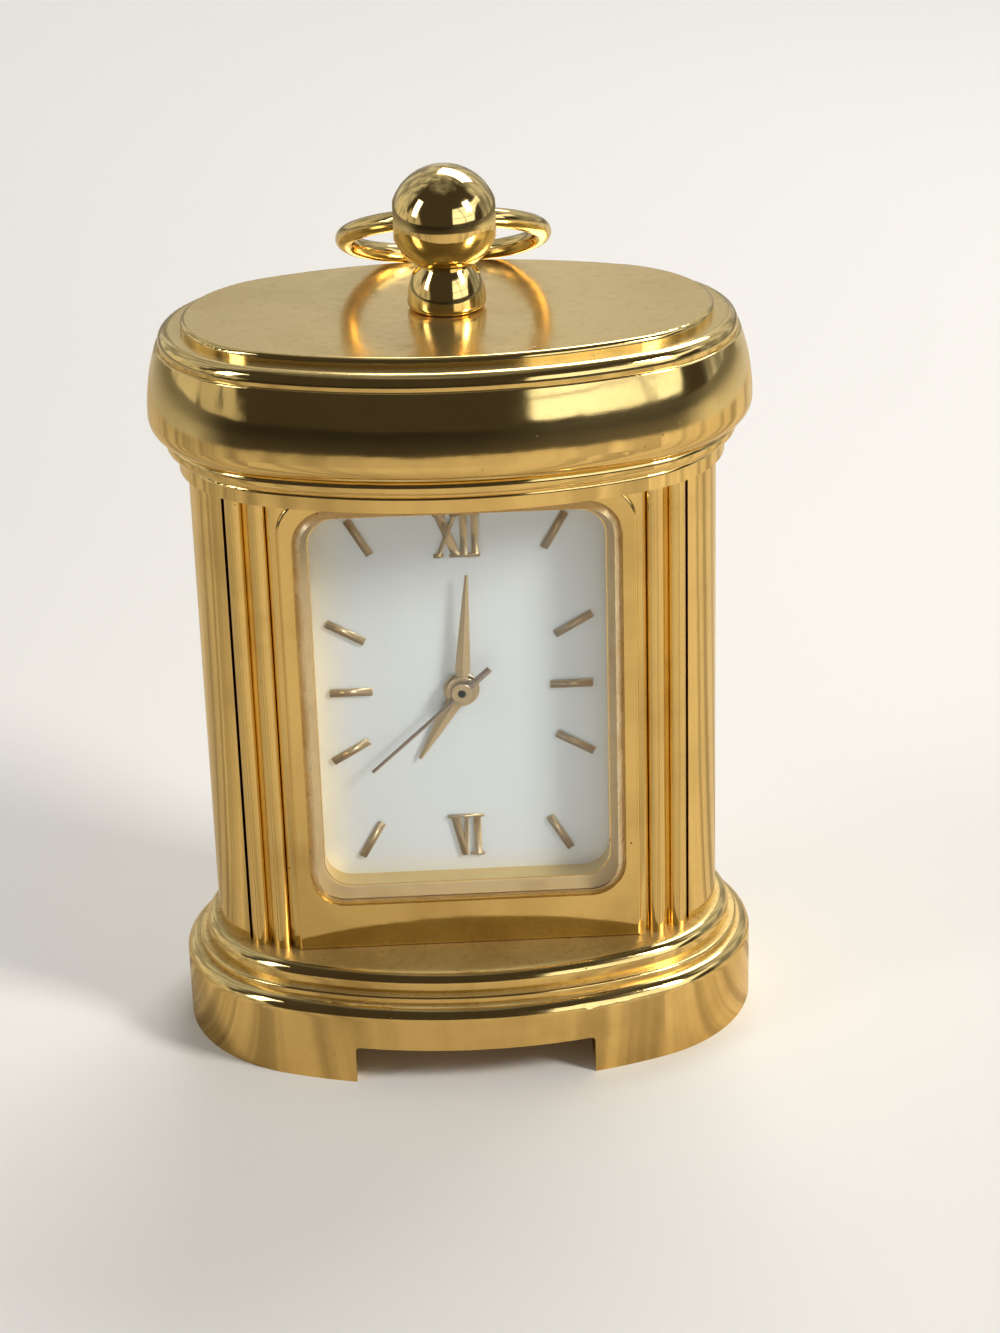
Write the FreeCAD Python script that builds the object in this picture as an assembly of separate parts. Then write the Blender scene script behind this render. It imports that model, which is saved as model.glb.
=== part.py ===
import FreeCAD, Part
import math
import os

from FreeCAD import Vector

# Miniature gold-plated column desk clock, lengths in millimetres, angles in degrees.
# The dial faces -Y, +Z is up, and the origin is on the table under the middle of the oval plan.

# Oval plan, shared by the plinth and the cap
plan_width = 43.4
plan_depth = 27.8
plan_end_radius = 12.0

# Plinth, from the table up
plinth_band_height = 6.3
plinth_band_round = 1.0
plinth_step_height = 0.6
plinth_step_inset = 1.0
plinth_step_round = 0.2
plinth_top_height = 1.5
plinth_top_inset = 1.6
plinth_top_round = 0.9
notch_width = 17.8
notch_height = 2.95
notch_round = 0.3

# Column with its front panel and reeded corners
column_depth = 14.4
panel_margin = 1.05
panel_lift = 0.3
panel_top_round = 3.0
panel_edge_round = 0.25
reed_radius = 0.72
reed_sink = 0.4
reed_groove_depth = 0.55
reed_angles = (71.5, 56.5)
reed_groove_angles = (49.5, 80.0)

# Cap, from the column up
neck_height = 1.3
neck_inset = 2.0
neck_round = 0.35
kink_height = 0.2
kink_inset = 1.75
bead_height = 1.1
bead_inset = 1.15
bead_round = 0.45
cap_band_height = 6.55
cap_band_top_round = 0.15
cap_band_bottom_round = 1.5
cap_band_lean = 0.88
cap_tier_height = 1.15
cap_tier_inset = 1.05
cap_tier_round = 0.85
cap_plate_height = 0.7
cap_plate_inset = 2.75
cap_plate_round = 0.35
cap_pocket_radius = 2.9
cap_roof_thickness = 2.5

# Ball finial on its bell-shaped stem
ball_radius = 3.85
stem_height = 6.45
stem_neck_radius = 2.0
stem_foot_radius = 2.8
stem_foot_round = 0.5
stud_radius = 0.95
stud_length = 5.4
nut_width = 3.4
nut_height = 1.8
washer_radius = 2.2
washer_thickness = 0.4

# Loose carrying ring through the ball
ring_radius = 7.1
ring_wire_radius = 0.7
ring_play = 0.1
ring_rest_gap = 0.084
ring_first_step_angle = 16.0
ring_last_step_angle = 0.01

# Window, crystal and liner
window_sill = 3.6
window_head = 1.2
window_corner = 2.7
front_wall = 1.2
crystal_proud = 0.15
crystal_bevel = 0.55
gasket_thickness = 0.15
gasket_width = 1.0
liner_depth = 1.7
liner_wall = 1.15
liner_corner = 2.0
liner_overlap_side = 0.65
liner_overlap_end = 0.35

# Inside of the column
side_ledge = 1.95
bottom_ledge = 2.0
cavity_corner = 2.0

# Dial and its applied markers
dial_thickness = 0.4
dial_hole_radius = 1.2
hub_rise = 0.35
marker_thickness = 0.2
baton_length = 3.15
baton_width = 0.6
baton_half_span = 9.65
baton_side_gap = 0.95
baton_drop = 0.25
numeral_height = 3.4
numeral_reach = 13.8
numeral_edge_gap = 0.55
twelve_width = 3.35
six_width = 2.75

# Strokes of the numerals, as shares of the numeral's width: left and right edge at the top,
# then left and right edge at the foot
twelve_stroke_shares = (
    (0.02, 0.21, 0.40, 0.60),
    (0.44, 0.54, 0.04, 0.13),
    (0.58, 0.73, 0.58, 0.73),
    (0.82, 0.97, 0.82, 0.97),
)
twelve_top_serif_shares = ((0.0, 0.28), (0.36, 1.0))
twelve_foot_serif_shares = ((0.0, 0.22), (0.34, 1.0))
six_stroke_shares = (
    (0.08, 0.32, 0.36, 0.54),
    (0.46, 0.58, 0.44, 0.53),
    (0.70, 0.90, 0.70, 0.90),
)
six_top_serif_shares = ((0.0, 1.0),)
six_foot_serif_shares = ((0.60, 1.0),)
serif_height = 0.22

# Time shown by the hands
shown_hour_count = 7
shown_minute_count = 0
shown_second_count = 38

# Hands
hand_gap = 0.05
hand_space = 0.25
hour_hand_length = 6.2
hour_hand_width = 1.0
hour_hand_thickness = 0.15
hour_hub_radius = 1.32
minute_hand_length = 9.0
minute_hand_width = 0.9
minute_hand_thickness = 0.15
minute_hub_radius = 1.15
blade_tip_share = 0.25
blade_shoulder_share = 0.2
seconds_hand_length = 9.1
seconds_hand_tail = 2.8
seconds_hand_width = 0.26
seconds_tail_width = 0.5
seconds_hand_thickness = 0.12
seconds_hub_radius = 0.78

# Nested pipes and arbors of the hands
running_clearance = 0.05
seconds_arbor_radius = 0.3
pipe_wall = 0.27
pivot_radius = 0.25
pivot_depth = 0.4
motion_arbor_radius = 0.45

# Plates and layers of the movement
main_plate_thickness = 0.7
bridge_thickness = 0.5
back_plate_thickness = 0.7
wheel_thickness = 0.4
layer_gap = 0.2
plate_play = 0.1
middle_plate_width = 20.0
middle_plate_height = 24.0
back_plate_width = 19.6
back_plate_foot = 3.9
back_plate_head = 12.0
plate_corner = 1.5
post_radius = 0.95

# Wheel train: teeth, centre distances and the directions from centre to centre
hour_teeth = 40
motion_pinion_teeth = 10
motion_teeth = 36
cannon_teeth = 12
motion_distance = 5.0
motion_direction = -35.0
minute_teeth = 64
third_pinion_teeth = 8
third_teeth = 60
seconds_pinion_teeth = 8
third_distance = 4.6
third_direction = 160.0
seconds_teeth = 50
fourth_pinion_teeth = 10
fourth_distance = 4.2
fourth_direction = 35.0
fourth_teeth = 48
rotor_pinion_teeth = 8
rotor_distance = 3.92
rotor_direction = 110.0
addendum_share = 0.65
dedendum_share = 0.95
tooth_tip_share = 0.16
tooth_root_share = 0.46

# Stepping motor
magnet_radius = 1.2
magnet_height = 1.2
stator_air_gap = 0.25
coil_clearance = 0.1
coil_length = 12.0
coil_rise = 10.2
core_length = 18.4
core_width = 1.6
core_thickness = 0.6
stator_bar_height = 3.4

# Cell, circuit board and their small parts
cell_radius = 3.4
cell_height = 2.6
cell_left = 4.6
cell_drop = 7.5
strap_width = 1.8
strap_thickness = 0.2
strap_gap = 0.35
board_left = 0.2
board_right = 9.2
board_top_drop = 4.7
board_bottom_drop = 11.4
board_thickness = 0.5
board_corner = 0.4
chip_radius = 1.2
chip_height = 0.6
chip_right = 2.6
chip_drop = 7.6
can_radius = 0.6
can_length = 4.2
can_right = 5.6
can_drop = 10.3

# Screws
tie_screw_radius = 0.8
tie_screw_wall = 2.0
tie_screw_edge = 2.7
tie_head_radius = 1.6
tie_head_height = 1.1
tie_seat_height = 3.0
tie_thread_length = 5.6
counterbore_play = 0.2
movement_screw_radius = 0.45
movement_screw_head_radius = 0.8
movement_screw_head_height = 0.4
movement_screw_thread = 1.3
movement_screw_rise = 12.0
bridge_screw_radius = 0.4
bridge_screw_head_radius = 0.8
bridge_screw_head_height = 0.4
bridge_screw_end_gap = 0.4
post_places = ((-9.0, -2.0), (9.0, 0.5))
slot_width = 0.25
slot_share = 0.5

# Back cover and setting knob
cover_room = 2.6
cover_thickness = 1.0
cover_play = 0.08
cover_rim_depth = 1.2
cover_rim_wall = 0.7
cover_notch_radius = 1.6
knob_radius = 2.8
knob_height = 2.3
knob_hole_play = 0.3
knob_set_in = 0.4
knob_groove_radius = 0.3
knob_groove_count = 20
knob_edge_round = 0.3

# Length by which a cutter runs past the face that it cuts
overrun = 1.0

# Largest difference between two levels that count as the same
same_level = 0.0001

# Oval geometry: the ends are arcs about points on the X axis, and the sides are wider arcs
plan_half_width = plan_width / 2
plan_half_depth = plan_depth / 2
end_centre = plan_half_width - plan_end_radius
side_radius = (end_centre**2 + plan_half_depth**2 - plan_end_radius**2) / (
    2 * (plan_half_depth - plan_end_radius)
)
side_centre = side_radius - plan_half_depth
join_across = end_centre / (side_radius - plan_end_radius)
join_along = side_centre / (side_radius - plan_end_radius)

# The markers set the window, and the window sets the column's height
window_half_width = baton_half_span + baton_side_gap + liner_wall
window_height = 2 * (numeral_reach + numeral_edge_gap + liner_wall + hub_rise)
column_height = window_sill + window_height + window_head

# Levels above the table
plinth_step_z = plinth_band_height
plinth_tier_z = plinth_step_z + plinth_step_height
plinth_top = plinth_tier_z + plinth_top_height
column_top = plinth_top + column_height
kink_z = column_top + neck_height
bead_z = kink_z + kink_height
cap_band_z = bead_z + bead_height
cap_tier_z = cap_band_z + cap_band_height
cap_plate_z = cap_tier_z + cap_tier_height
cap_top = cap_plate_z + cap_plate_height
cap_pocket_top = cap_top - cap_roof_thickness
ball_z = cap_top + stem_height
window_bottom = plinth_top + window_sill
window_top = window_bottom + window_height
hub_z = window_bottom + window_height / 2 + hub_rise
tie_screw_top = column_top + tie_thread_length

# Half sizes of the panel and cavities, and the places that follow from them
panel_half_width = window_half_width + panel_margin
liner_half_width = window_half_width + liner_overlap_side
liner_bottom = window_bottom - liner_overlap_end
liner_top = window_top + liner_overlap_end
front_cavity_half_width = liner_half_width + running_clearance
cavity_half_width = front_cavity_half_width + side_ledge
front_cavity_bottom = liner_bottom - running_clearance
cavity_bottom = front_cavity_bottom - bottom_ledge
cavity_top = liner_top + running_clearance
tie_screw_spread = cavity_half_width + tie_screw_wall
column_radius = column_depth / 2
column_end_centre = tie_screw_spread + tie_screw_edge - column_radius
baton_half_rise = numeral_reach - baton_drop

# Depth levels along Y, from the panel's face to the back
panel_y = -column_radius - panel_lift
wall_y = panel_y + front_wall
crystal_front_y = panel_y - crystal_proud
crystal_back_y = wall_y - gasket_thickness
dial_y = wall_y + liner_depth
seat_y = dial_y + dial_thickness
main_plate_y = seat_y + main_plate_thickness
hour_y = main_plate_y + layer_gap
motion_y = hour_y + wheel_thickness + layer_gap
minute_y = motion_y + wheel_thickness + layer_gap
third_y = minute_y + wheel_thickness + layer_gap
middle_y = third_y + wheel_thickness + layer_gap
middle_back_y = middle_y + bridge_thickness
seconds_y = middle_back_y + layer_gap
fourth_y = seconds_y + wheel_thickness + layer_gap
magnet_y = fourth_y + wheel_thickness + layer_gap
back_plate_y = magnet_y + magnet_height + layer_gap
back_plate_back_y = back_plate_y + back_plate_thickness
cover_front_y = back_plate_back_y + cover_room
cover_back_y = cover_front_y + cover_thickness
knob_y = cover_back_y - knob_set_in

# Hands stack forward from the dial's markers
hour_hand_back_y = dial_y - marker_thickness - hand_gap
hour_hand_y = hour_hand_back_y - hour_hand_thickness
minute_hand_back_y = hour_hand_y - hand_space
minute_hand_y = minute_hand_back_y - minute_hand_thickness
seconds_hand_back_y = minute_hand_y - hand_space
seconds_hand_y = seconds_hand_back_y - seconds_hand_thickness

# Radii of the nested pipes
minute_bore = seconds_arbor_radius + running_clearance
minute_pipe_radius = minute_bore + pipe_wall
hour_bore = minute_pipe_radius + running_clearance
hour_pipe_radius = hour_bore + pipe_wall


def place_from(start, distance, direction):
    """Centre at a distance and direction (degrees from +X towards +Z) from another centre."""
    turn = math.radians(direction)
    return (start[0] + distance * math.cos(turn), start[1] + distance * math.sin(turn))


# Centres of the arbors as (x, z)
hub = (0.0, hub_z)
motion_centre = place_from(hub, motion_distance, motion_direction)
third_centre = place_from(hub, third_distance, third_direction)
fourth_centre = place_from(hub, fourth_distance, fourth_direction)
rotor_centre = place_from(fourth_centre, rotor_distance, rotor_direction)
coil_centre_y = (middle_back_y + back_plate_y) / 2
coil_radius = (back_plate_y - middle_back_y) / 2 - coil_clearance
coil_z = hub_z + coil_rise
core_y = coil_centre_y - core_thickness / 2
stator_y = core_y + core_thickness
core_screw_x = (core_length - core_width) / 2

# Modules that make each pair of wheels mesh at its centre distance
hour_module = 2 * motion_distance / (hour_teeth + motion_pinion_teeth)
motion_module = 2 * motion_distance / (motion_teeth + cannon_teeth)
minute_module = 2 * third_distance / (minute_teeth + third_pinion_teeth)
third_module = 2 * third_distance / (third_teeth + seconds_pinion_teeth)
seconds_module = 2 * fourth_distance / (seconds_teeth + fourth_pinion_teeth)
fourth_module = 2 * rotor_distance / (fourth_teeth + rotor_pinion_teeth)

# Ring geometry: the wire bows from one side of the hole to the other
ring_bow = ring_radius - math.sqrt(ring_radius**2 - ball_radius**2)
ball_hole_radius = ring_wire_radius + ring_bow / 2 + ring_play
ring_offset = ring_radius - ring_bow / 2


def line(start, end):
    return Part.LineSegment(start, end).toShape()


def arc(start, middle, end):
    return Part.Arc(start, middle, end).toShape()


def edges_at_z(shape, level):
    """Edges that lie flat at one height."""
    return [
        edge for edge in shape.Edges
        if math.isclose(edge.BoundBox.ZMin, level, abs_tol=same_level)
        and math.isclose(edge.BoundBox.ZMax, level, abs_tol=same_level)
    ]


def edges_at_y(shape, level):
    """Edges that lie in one plane across the depth."""
    return [
        edge for edge in shape.Edges
        if math.isclose(edge.BoundBox.YMin, level, abs_tol=same_level)
        and math.isclose(edge.BoundBox.YMax, level, abs_tol=same_level)
    ]


def fuse(shapes):
    """One solid from pieces that touch or overlap."""
    return shapes[0].multiFuse(list(shapes[1:])).removeSplitter()


def oval_face(inset, z):
    """Oval plan drawn in by a true offset."""
    reach = side_radius - inset
    across = join_across * reach
    along = join_along * reach - side_centre
    right = Vector(plan_half_width - inset, 0, z)
    left = Vector(inset - plan_half_width, 0, z)
    front = Vector(0, inset - plan_half_depth, z)
    back = Vector(0, plan_half_depth - inset, z)
    corners = [
        Vector(-across, -along, z),
        Vector(across, -along, z),
        Vector(across, along, z),
        Vector(-across, along, z),
    ]
    edges = [
        arc(corners[0], front, corners[1]),
        arc(corners[1], right, corners[2]),
        arc(corners[2], back, corners[3]),
        arc(corners[3], left, corners[0]),
    ]
    return Part.Face(Part.Wire(edges))


def oval_tier(inset, bottom, height, top_round, bottom_round):
    """One moulded step of the plinth or cap, with rounded rims where a radius is given."""
    tier = oval_face(inset, bottom).extrude(Vector(0, 0, height))
    if top_round:
        tier = tier.makeFillet(top_round, edges_at_z(tier, bottom + height))
    if bottom_round:
        tier = tier.makeFillet(bottom_round, edges_at_z(tier, bottom))
    return tier


def lean_halfway(rise, lean):
    """How far in an upright bow has come at half its rise, when it leans in by the lean at its top."""
    bow = (rise**2 + lean**2) / (2 * lean)
    return bow - math.sqrt(bow**2 - (rise / 2) ** 2)


def bowed_band():
    """Deep band of the cap, with a rounded foot below a long bow that leans in towards the top."""
    foot = cap_band_bottom_round
    foot_lean = foot * (1 - math.sqrt(0.5))
    rise = cap_band_height - foot
    half_lean = lean_halfway(rise, cap_band_lean)
    widest = Vector(0, -plan_half_depth, cap_band_z + foot)
    bow_middle = Vector(0, half_lean - plan_half_depth, cap_band_z + foot + rise / 2)
    bow_top = Vector(0, cap_band_lean - plan_half_depth, cap_tier_z)
    inner_top = Vector(0, cap_plate_inset - plan_half_depth, cap_tier_z)
    inner_foot = Vector(0, cap_plate_inset - plan_half_depth, cap_band_z)
    foot_start = Vector(0, foot - plan_half_depth, cap_band_z)
    foot_middle = Vector(0, foot_lean - plan_half_depth, cap_band_z + foot_lean)
    outline = Part.Wire([
        arc(foot_start, foot_middle, widest),
        arc(widest, bow_middle, bow_top),
        line(bow_top, inner_top),
        line(inner_top, inner_foot),
        line(inner_foot, foot_start),
    ])
    rim = oval_face(0, cap_band_z).OuterWire.makePipeShell([outline], True, False)
    core = oval_face(cap_plate_inset - overrun, cap_band_z).extrude(Vector(0, 0, cap_band_height))
    band = fuse([core, rim])
    return band.makeFillet(cap_band_top_round, edges_at_z(band, cap_tier_z))


def rounded_plate(left, right, bottom, top, corner, y_front, y_back):
    """Plate across the depth with round corners."""
    lean = corner * (1 - math.sqrt(0.5))
    points = {
        "bottom": (Vector(left + corner, y_front, bottom), Vector(right - corner, y_front, bottom)),
        "right": (Vector(right, y_front, bottom + corner), Vector(right, y_front, top - corner)),
        "top": (Vector(right - corner, y_front, top), Vector(left + corner, y_front, top)),
        "left": (Vector(left, y_front, top - corner), Vector(left, y_front, bottom + corner)),
    }
    middles = [
        Vector(right - lean, y_front, bottom + lean),
        Vector(right - lean, y_front, top - lean),
        Vector(left + lean, y_front, top - lean),
        Vector(left + lean, y_front, bottom + lean),
    ]
    sides = list(points.values())
    edges = []
    for index, (start, end) in enumerate(sides):
        following = sides[(index + 1) % len(sides)]
        edges.append(line(start, end))
        edges.append(arc(end, middles[index], following[0]))
    face = Part.Face(Part.Wire(edges))
    return face.extrude(Vector(0, y_back - y_front, 0))


def rod(centre, radius, y_front, y_back):
    """Round rod along the depth at (x, z)."""
    base = Vector(centre[0], y_front, centre[1])
    return Part.makeCylinder(radius, y_back - y_front, base, Vector(0, 1, 0))


def upright(x, y, radius, bottom, top):
    """Round rod along Z."""
    return Part.makeCylinder(radius, top - bottom, Vector(x, y, bottom), Vector(0, 0, 1))


def both_sides(shape):
    """The shape and its mirror image across the middle of the clock."""
    return [shape, shape.mirror(Vector(0, 0, 0), Vector(1, 0, 0))]


def gear(centre, teeth, module, phase, y_front, thickness):
    """Spur gear with straight-sided teeth, one tooth centred on the phase angle."""
    pitch_radius = teeth * module / 2
    tip_radius = pitch_radius + addendum_share * module
    root_radius = pitch_radius - dedendum_share * module
    pitch_angle = 2 * math.pi / teeth
    profile = (
        (root_radius, -tooth_root_share / 2),
        (tip_radius, -tooth_tip_share / 2),
        (tip_radius, tooth_tip_share / 2),
        (root_radius, tooth_root_share / 2),
    )
    points = []
    for tooth in range(teeth):
        for radius, share in profile:
            turn = math.radians(phase) + (tooth + share) * pitch_angle
            x = centre[0] + radius * math.cos(turn)
            z = centre[1] + radius * math.sin(turn)
            points.append(Vector(x, y_front, z))
    outline = Part.makePolygon(points + points[:1])
    return Part.Face(outline).extrude(Vector(0, thickness, 0))


def facing_phase(direction, teeth):
    """Phase of a driven gear whose gap faces the tooth of the gear at its other side."""
    return direction + 180 + 180 / teeth


def screw(start, direction, radius, length, head_radius, head_height):
    """Slotted cheese-head screw: start is under the head, direction points to its tip."""
    shank = Part.makeCylinder(radius, length, start, direction)
    head = Part.makeCylinder(head_radius, head_height, start, -direction)
    slot_depth = head_height * slot_share
    slot = Part.makeBox(2 * head_radius + 2 * overrun, slot_width, slot_depth + overrun)
    slot.translate(Vector(-head_radius - overrun, -slot_width / 2, 0))
    slot.Placement = FreeCAD.Placement(
        start - direction * (head_height - slot_depth),
        FreeCAD.Rotation(Vector(0, 0, 1), -direction),
    ).multiply(slot.Placement)
    return shank.fuse(head).removeSplitter().cut(slot)


def hollow(bottom, play, y_front, y_back):
    """Main cavity of the column, or a plate that fits it with some play."""
    return rounded_plate(
        play - cavity_half_width,
        cavity_half_width - play,
        bottom + play,
        cavity_top - play,
        cavity_corner - play,
        y_front,
        y_back,
    )


def plinth():
    band = oval_tier(0, 0, plinth_band_height, plinth_band_round, 0)
    step = oval_tier(plinth_step_inset, plinth_step_z, plinth_step_height, plinth_step_round, 0)
    tier = oval_tier(plinth_top_inset, plinth_tier_z, plinth_top_height, plinth_top_round, 0)
    body = fuse([band, step, tier])
    notch = Part.makeBox(
        notch_width,
        plan_depth + 2 * overrun,
        notch_height + overrun,
        Vector(-notch_width / 2, -plan_half_depth - overrun, -overrun),
    )
    roof_edges = [
        edge for edge in edges_at_z(notch, notch_height) if edge.BoundBox.YLength > plan_depth
    ]
    body = body.cut(notch.makeFillet(notch_round, roof_edges))
    for side in (-1, 1):
        x = side * tie_screw_spread
        body = body.cut(upright(x, 0, tie_head_radius + counterbore_play, -overrun, tie_seat_height))
        body = body.cut(upright(x, 0, tie_screw_radius + running_clearance, 0, plinth_top + overrun))
    return body


def reed_corner():
    """Groove cutter and the two reeds of the front right corner."""
    start, end = reed_groove_angles
    sector = Part.makeCylinder(
        column_radius + overrun,
        column_height,
        Vector(column_end_centre, 0, plinth_top),
        Vector(0, 0, 1),
        end - start,
    )
    sector.rotate(Vector(column_end_centre, 0, 0), Vector(0, 0, 1), -end)
    groove_radius = column_radius - reed_groove_depth
    groove = sector.cut(upright(column_end_centre, 0, groove_radius, plinth_top, column_top))
    reed_reach = column_radius - reed_sink
    reeds = []
    for angle in reed_angles:
        turn = math.radians(angle)
        x = column_end_centre + reed_reach * math.cos(turn)
        y = -reed_reach * math.sin(turn)
        reeds.append(upright(x, y, reed_radius, plinth_top, column_top))
    return groove, reeds


def column():
    middle = Part.makeBox(
        2 * column_end_centre,
        column_depth,
        column_height,
        Vector(-column_end_centre, -column_radius, plinth_top),
    )
    ends = both_sides(upright(column_end_centre, 0, column_radius, plinth_top, column_top))
    panel = Part.makeBox(
        2 * panel_half_width,
        -panel_y,
        column_height,
        Vector(-panel_half_width, panel_y, plinth_top),
    )
    panel = panel.makeFillet(
        panel_top_round,
        [edge for edge in edges_at_z(panel, column_top) if edge.BoundBox.YLength > panel_lift],
    )
    panel = panel.makeFillet(panel_edge_round, edges_at_y(panel, panel_y))
    body = fuse([middle] + ends)
    groove, reeds = reed_corner()
    for cutter in both_sides(groove):
        body = body.cut(cutter)
    reeds = [copy for reed in reeds for copy in both_sides(reed)]
    body = fuse([body, panel] + reeds)
    window = rounded_plate(
        -window_half_width,
        window_half_width,
        window_bottom,
        window_top,
        window_corner,
        panel_y - overrun,
        wall_y + overrun,
    )
    front_cavity = rounded_plate(
        -front_cavity_half_width,
        front_cavity_half_width,
        front_cavity_bottom,
        cavity_top,
        window_corner + running_clearance,
        wall_y,
        seat_y + overrun,
    )
    body = body.cut(window).cut(front_cavity)
    body = body.cut(hollow(cavity_bottom, 0, seat_y, column_radius + overrun))
    for side in (-1, 1):
        x = side * tie_screw_spread
        hole_radius = tie_screw_radius + running_clearance
        body = body.cut(upright(x, 0, hole_radius, plinth_top - overrun, column_top + overrun))
    for centre in movement_screw_centres():
        hole_depth = movement_screw_thread + running_clearance
        body = body.cut(rod(centre, movement_screw_radius, seat_y - hole_depth, seat_y + overrun))
    return body


def cap():
    body = fuse([
        oval_tier(neck_inset, column_top, neck_height, neck_round, 0),
        oval_tier(kink_inset, kink_z, kink_height, 0, 0),
        oval_tier(bead_inset, bead_z, bead_height, bead_round, bead_round),
        bowed_band(),
        oval_tier(cap_tier_inset, cap_tier_z, cap_tier_height, cap_tier_round, 0),
        oval_tier(cap_plate_inset, cap_plate_z, cap_plate_height, cap_plate_round, 0),
    ])
    body = body.cut(upright(0, 0, cap_pocket_radius, column_top - overrun, cap_pocket_top))
    stud_hole_radius = stud_radius + running_clearance
    body = body.cut(upright(0, 0, stud_hole_radius, column_top, cap_top + overrun))
    for side in (-1, 1):
        x = side * tie_screw_spread
        hole_radius = tie_screw_radius + running_clearance
        hole_top = tie_screw_top + overrun
        body = body.cut(upright(x, 0, hole_radius, column_top - overrun, hole_top))
    return body


def finial():
    """Drilled ball, bell-shaped stem and threaded stud, turned in one piece."""
    neck_z = ball_z - math.sqrt(ball_radius**2 - stem_neck_radius**2)
    widest_z = cap_top + stem_foot_round
    rise = neck_z - widest_z
    bell_radius = stem_foot_radius - lean_halfway(rise, stem_foot_radius - stem_neck_radius)
    foot_lean = stem_foot_round * (1 - math.sqrt(0.5))
    axis_foot = Vector(0, 0, cap_top)
    axis_top = Vector(0, 0, ball_z)
    foot_start = Vector(stem_foot_radius - stem_foot_round, 0, cap_top)
    foot_middle = Vector(stem_foot_radius - foot_lean, 0, cap_top + foot_lean)
    widest = Vector(stem_foot_radius, 0, widest_z)
    bell_middle = Vector(bell_radius, 0, widest_z + rise / 2)
    neck = Vector(stem_neck_radius, 0, neck_z)
    edges = [
        line(axis_foot, foot_start),
        arc(foot_start, foot_middle, widest),
        arc(widest, bell_middle, neck),
        line(neck, Vector(stem_neck_radius, 0, ball_z)),
        line(Vector(stem_neck_radius, 0, ball_z), axis_top),
        line(axis_top, axis_foot),
    ]
    stem = Part.Face(Part.Wire(edges)).revolve(Vector(0, 0, 0), Vector(0, 0, 1), 360)
    ball = Part.makeSphere(ball_radius, axis_top)
    stud = upright(0, 0, stud_radius, cap_top - stud_length, cap_top)
    hole_start = Vector(-ball_radius - overrun, 0, ball_z)
    hole_length = 2 * (ball_radius + overrun)
    hole = Part.makeCylinder(ball_hole_radius, hole_length, hole_start, Vector(1, 0, 0))
    return fuse([stem, ball, stud]).cut(hole)


def finial_washer():
    washer = upright(0, 0, washer_radius, cap_pocket_top - washer_thickness, cap_pocket_top)
    return washer.cut(upright(0, 0, stud_radius + running_clearance, column_top, cap_top))


def finial_nut():
    corner_radius = nut_width / math.sqrt(3)
    nut_top = cap_pocket_top - washer_thickness
    corners = []
    for index in range(6):
        turn = math.radians(60 * index)
        corners.append(Vector(corner_radius * math.cos(turn), corner_radius * math.sin(turn), nut_top))
    outline = Part.makePolygon(corners + corners[:1])
    nut = Part.Face(outline).extrude(Vector(0, 0, -nut_height))
    return nut.cut(upright(0, 0, stud_radius, column_top, cap_top))


def ring_place(angle):
    """Centre and normal of the ring when it hangs back and down by an angle."""
    tilt = math.radians(angle)
    centre = Vector(0, ring_offset * math.cos(tilt), ball_z - ring_offset * math.sin(tilt))
    return centre, Vector(0, math.sin(tilt), math.cos(tilt))


def carry_ring():
    """Plain wire ring, let down in ever smaller steps until it rests on the top of the cap."""
    cap_crown = fuse([
        oval_tier(cap_tier_inset, cap_tier_z, cap_tier_height, cap_tier_round, 0),
        oval_tier(cap_plate_inset, cap_plate_z, cap_plate_height, cap_plate_round, 0),
    ])
    rest_distance = ring_wire_radius + ring_rest_gap
    angle = 0
    step = ring_first_step_angle
    while step > ring_last_step_angle:
        centre, normal = ring_place(angle + step)
        centre_line = Part.Circle(centre, normal, ring_radius).toShape()
        if centre_line.distToShape(cap_crown)[0] > rest_distance:
            angle += step
        else:
            step /= 2
    centre, normal = ring_place(angle)
    return Part.makeTorus(ring_radius, ring_wire_radius, centre, normal)


def tie_screws():
    """Two long screws that clamp plinth, column and cap together from below."""
    length = tie_screw_top - tie_seat_height
    one = screw(
        Vector(tie_screw_spread, 0, tie_seat_height),
        Vector(0, 0, 1),
        tie_screw_radius,
        length,
        tie_head_radius,
        tie_head_height,
    )
    return both_sides(one)


def crystal():
    play = running_clearance
    pane = rounded_plate(
        play - window_half_width,
        window_half_width - play,
        window_bottom + play,
        window_top - play,
        window_corner - play,
        crystal_front_y,
        crystal_back_y,
    )
    return pane.makeChamfer(crystal_bevel, edges_at_y(pane, crystal_front_y))


def window_frame(margin, width, outer_corner, inner_corner, y_front, y_back):
    """Frame along the window's edge: margin is how far inside the edge it starts."""
    outer = rounded_plate(
        margin - window_half_width,
        window_half_width - margin,
        window_bottom + margin,
        window_top - margin,
        outer_corner,
        y_front,
        y_back,
    )
    inner = rounded_plate(
        margin + width - window_half_width,
        window_half_width - margin - width,
        window_bottom + margin + width,
        window_top - margin - width,
        inner_corner,
        y_front - overrun,
        y_back + overrun,
    )
    return outer.cut(inner)


def crystal_gasket():
    return window_frame(
        running_clearance,
        gasket_width,
        window_corner,
        liner_corner,
        crystal_back_y,
        wall_y,
    )


def window_liner():
    outer = rounded_plate(
        -liner_half_width,
        liner_half_width,
        liner_bottom,
        liner_top,
        window_corner,
        wall_y,
        dial_y,
    )
    inner = rounded_plate(
        liner_wall - window_half_width,
        window_half_width - liner_wall,
        window_bottom + liner_wall,
        window_top - liner_wall,
        liner_corner,
        wall_y - overrun,
        dial_y + overrun,
    )
    return outer.cut(inner)


def dial():
    plate = rounded_plate(
        -liner_half_width,
        liner_half_width,
        liner_bottom,
        liner_top,
        window_corner,
        dial_y,
        seat_y,
    )
    return plate.cut(rod(hub, dial_hole_radius, dial_y - overrun, seat_y + overrun))


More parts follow.
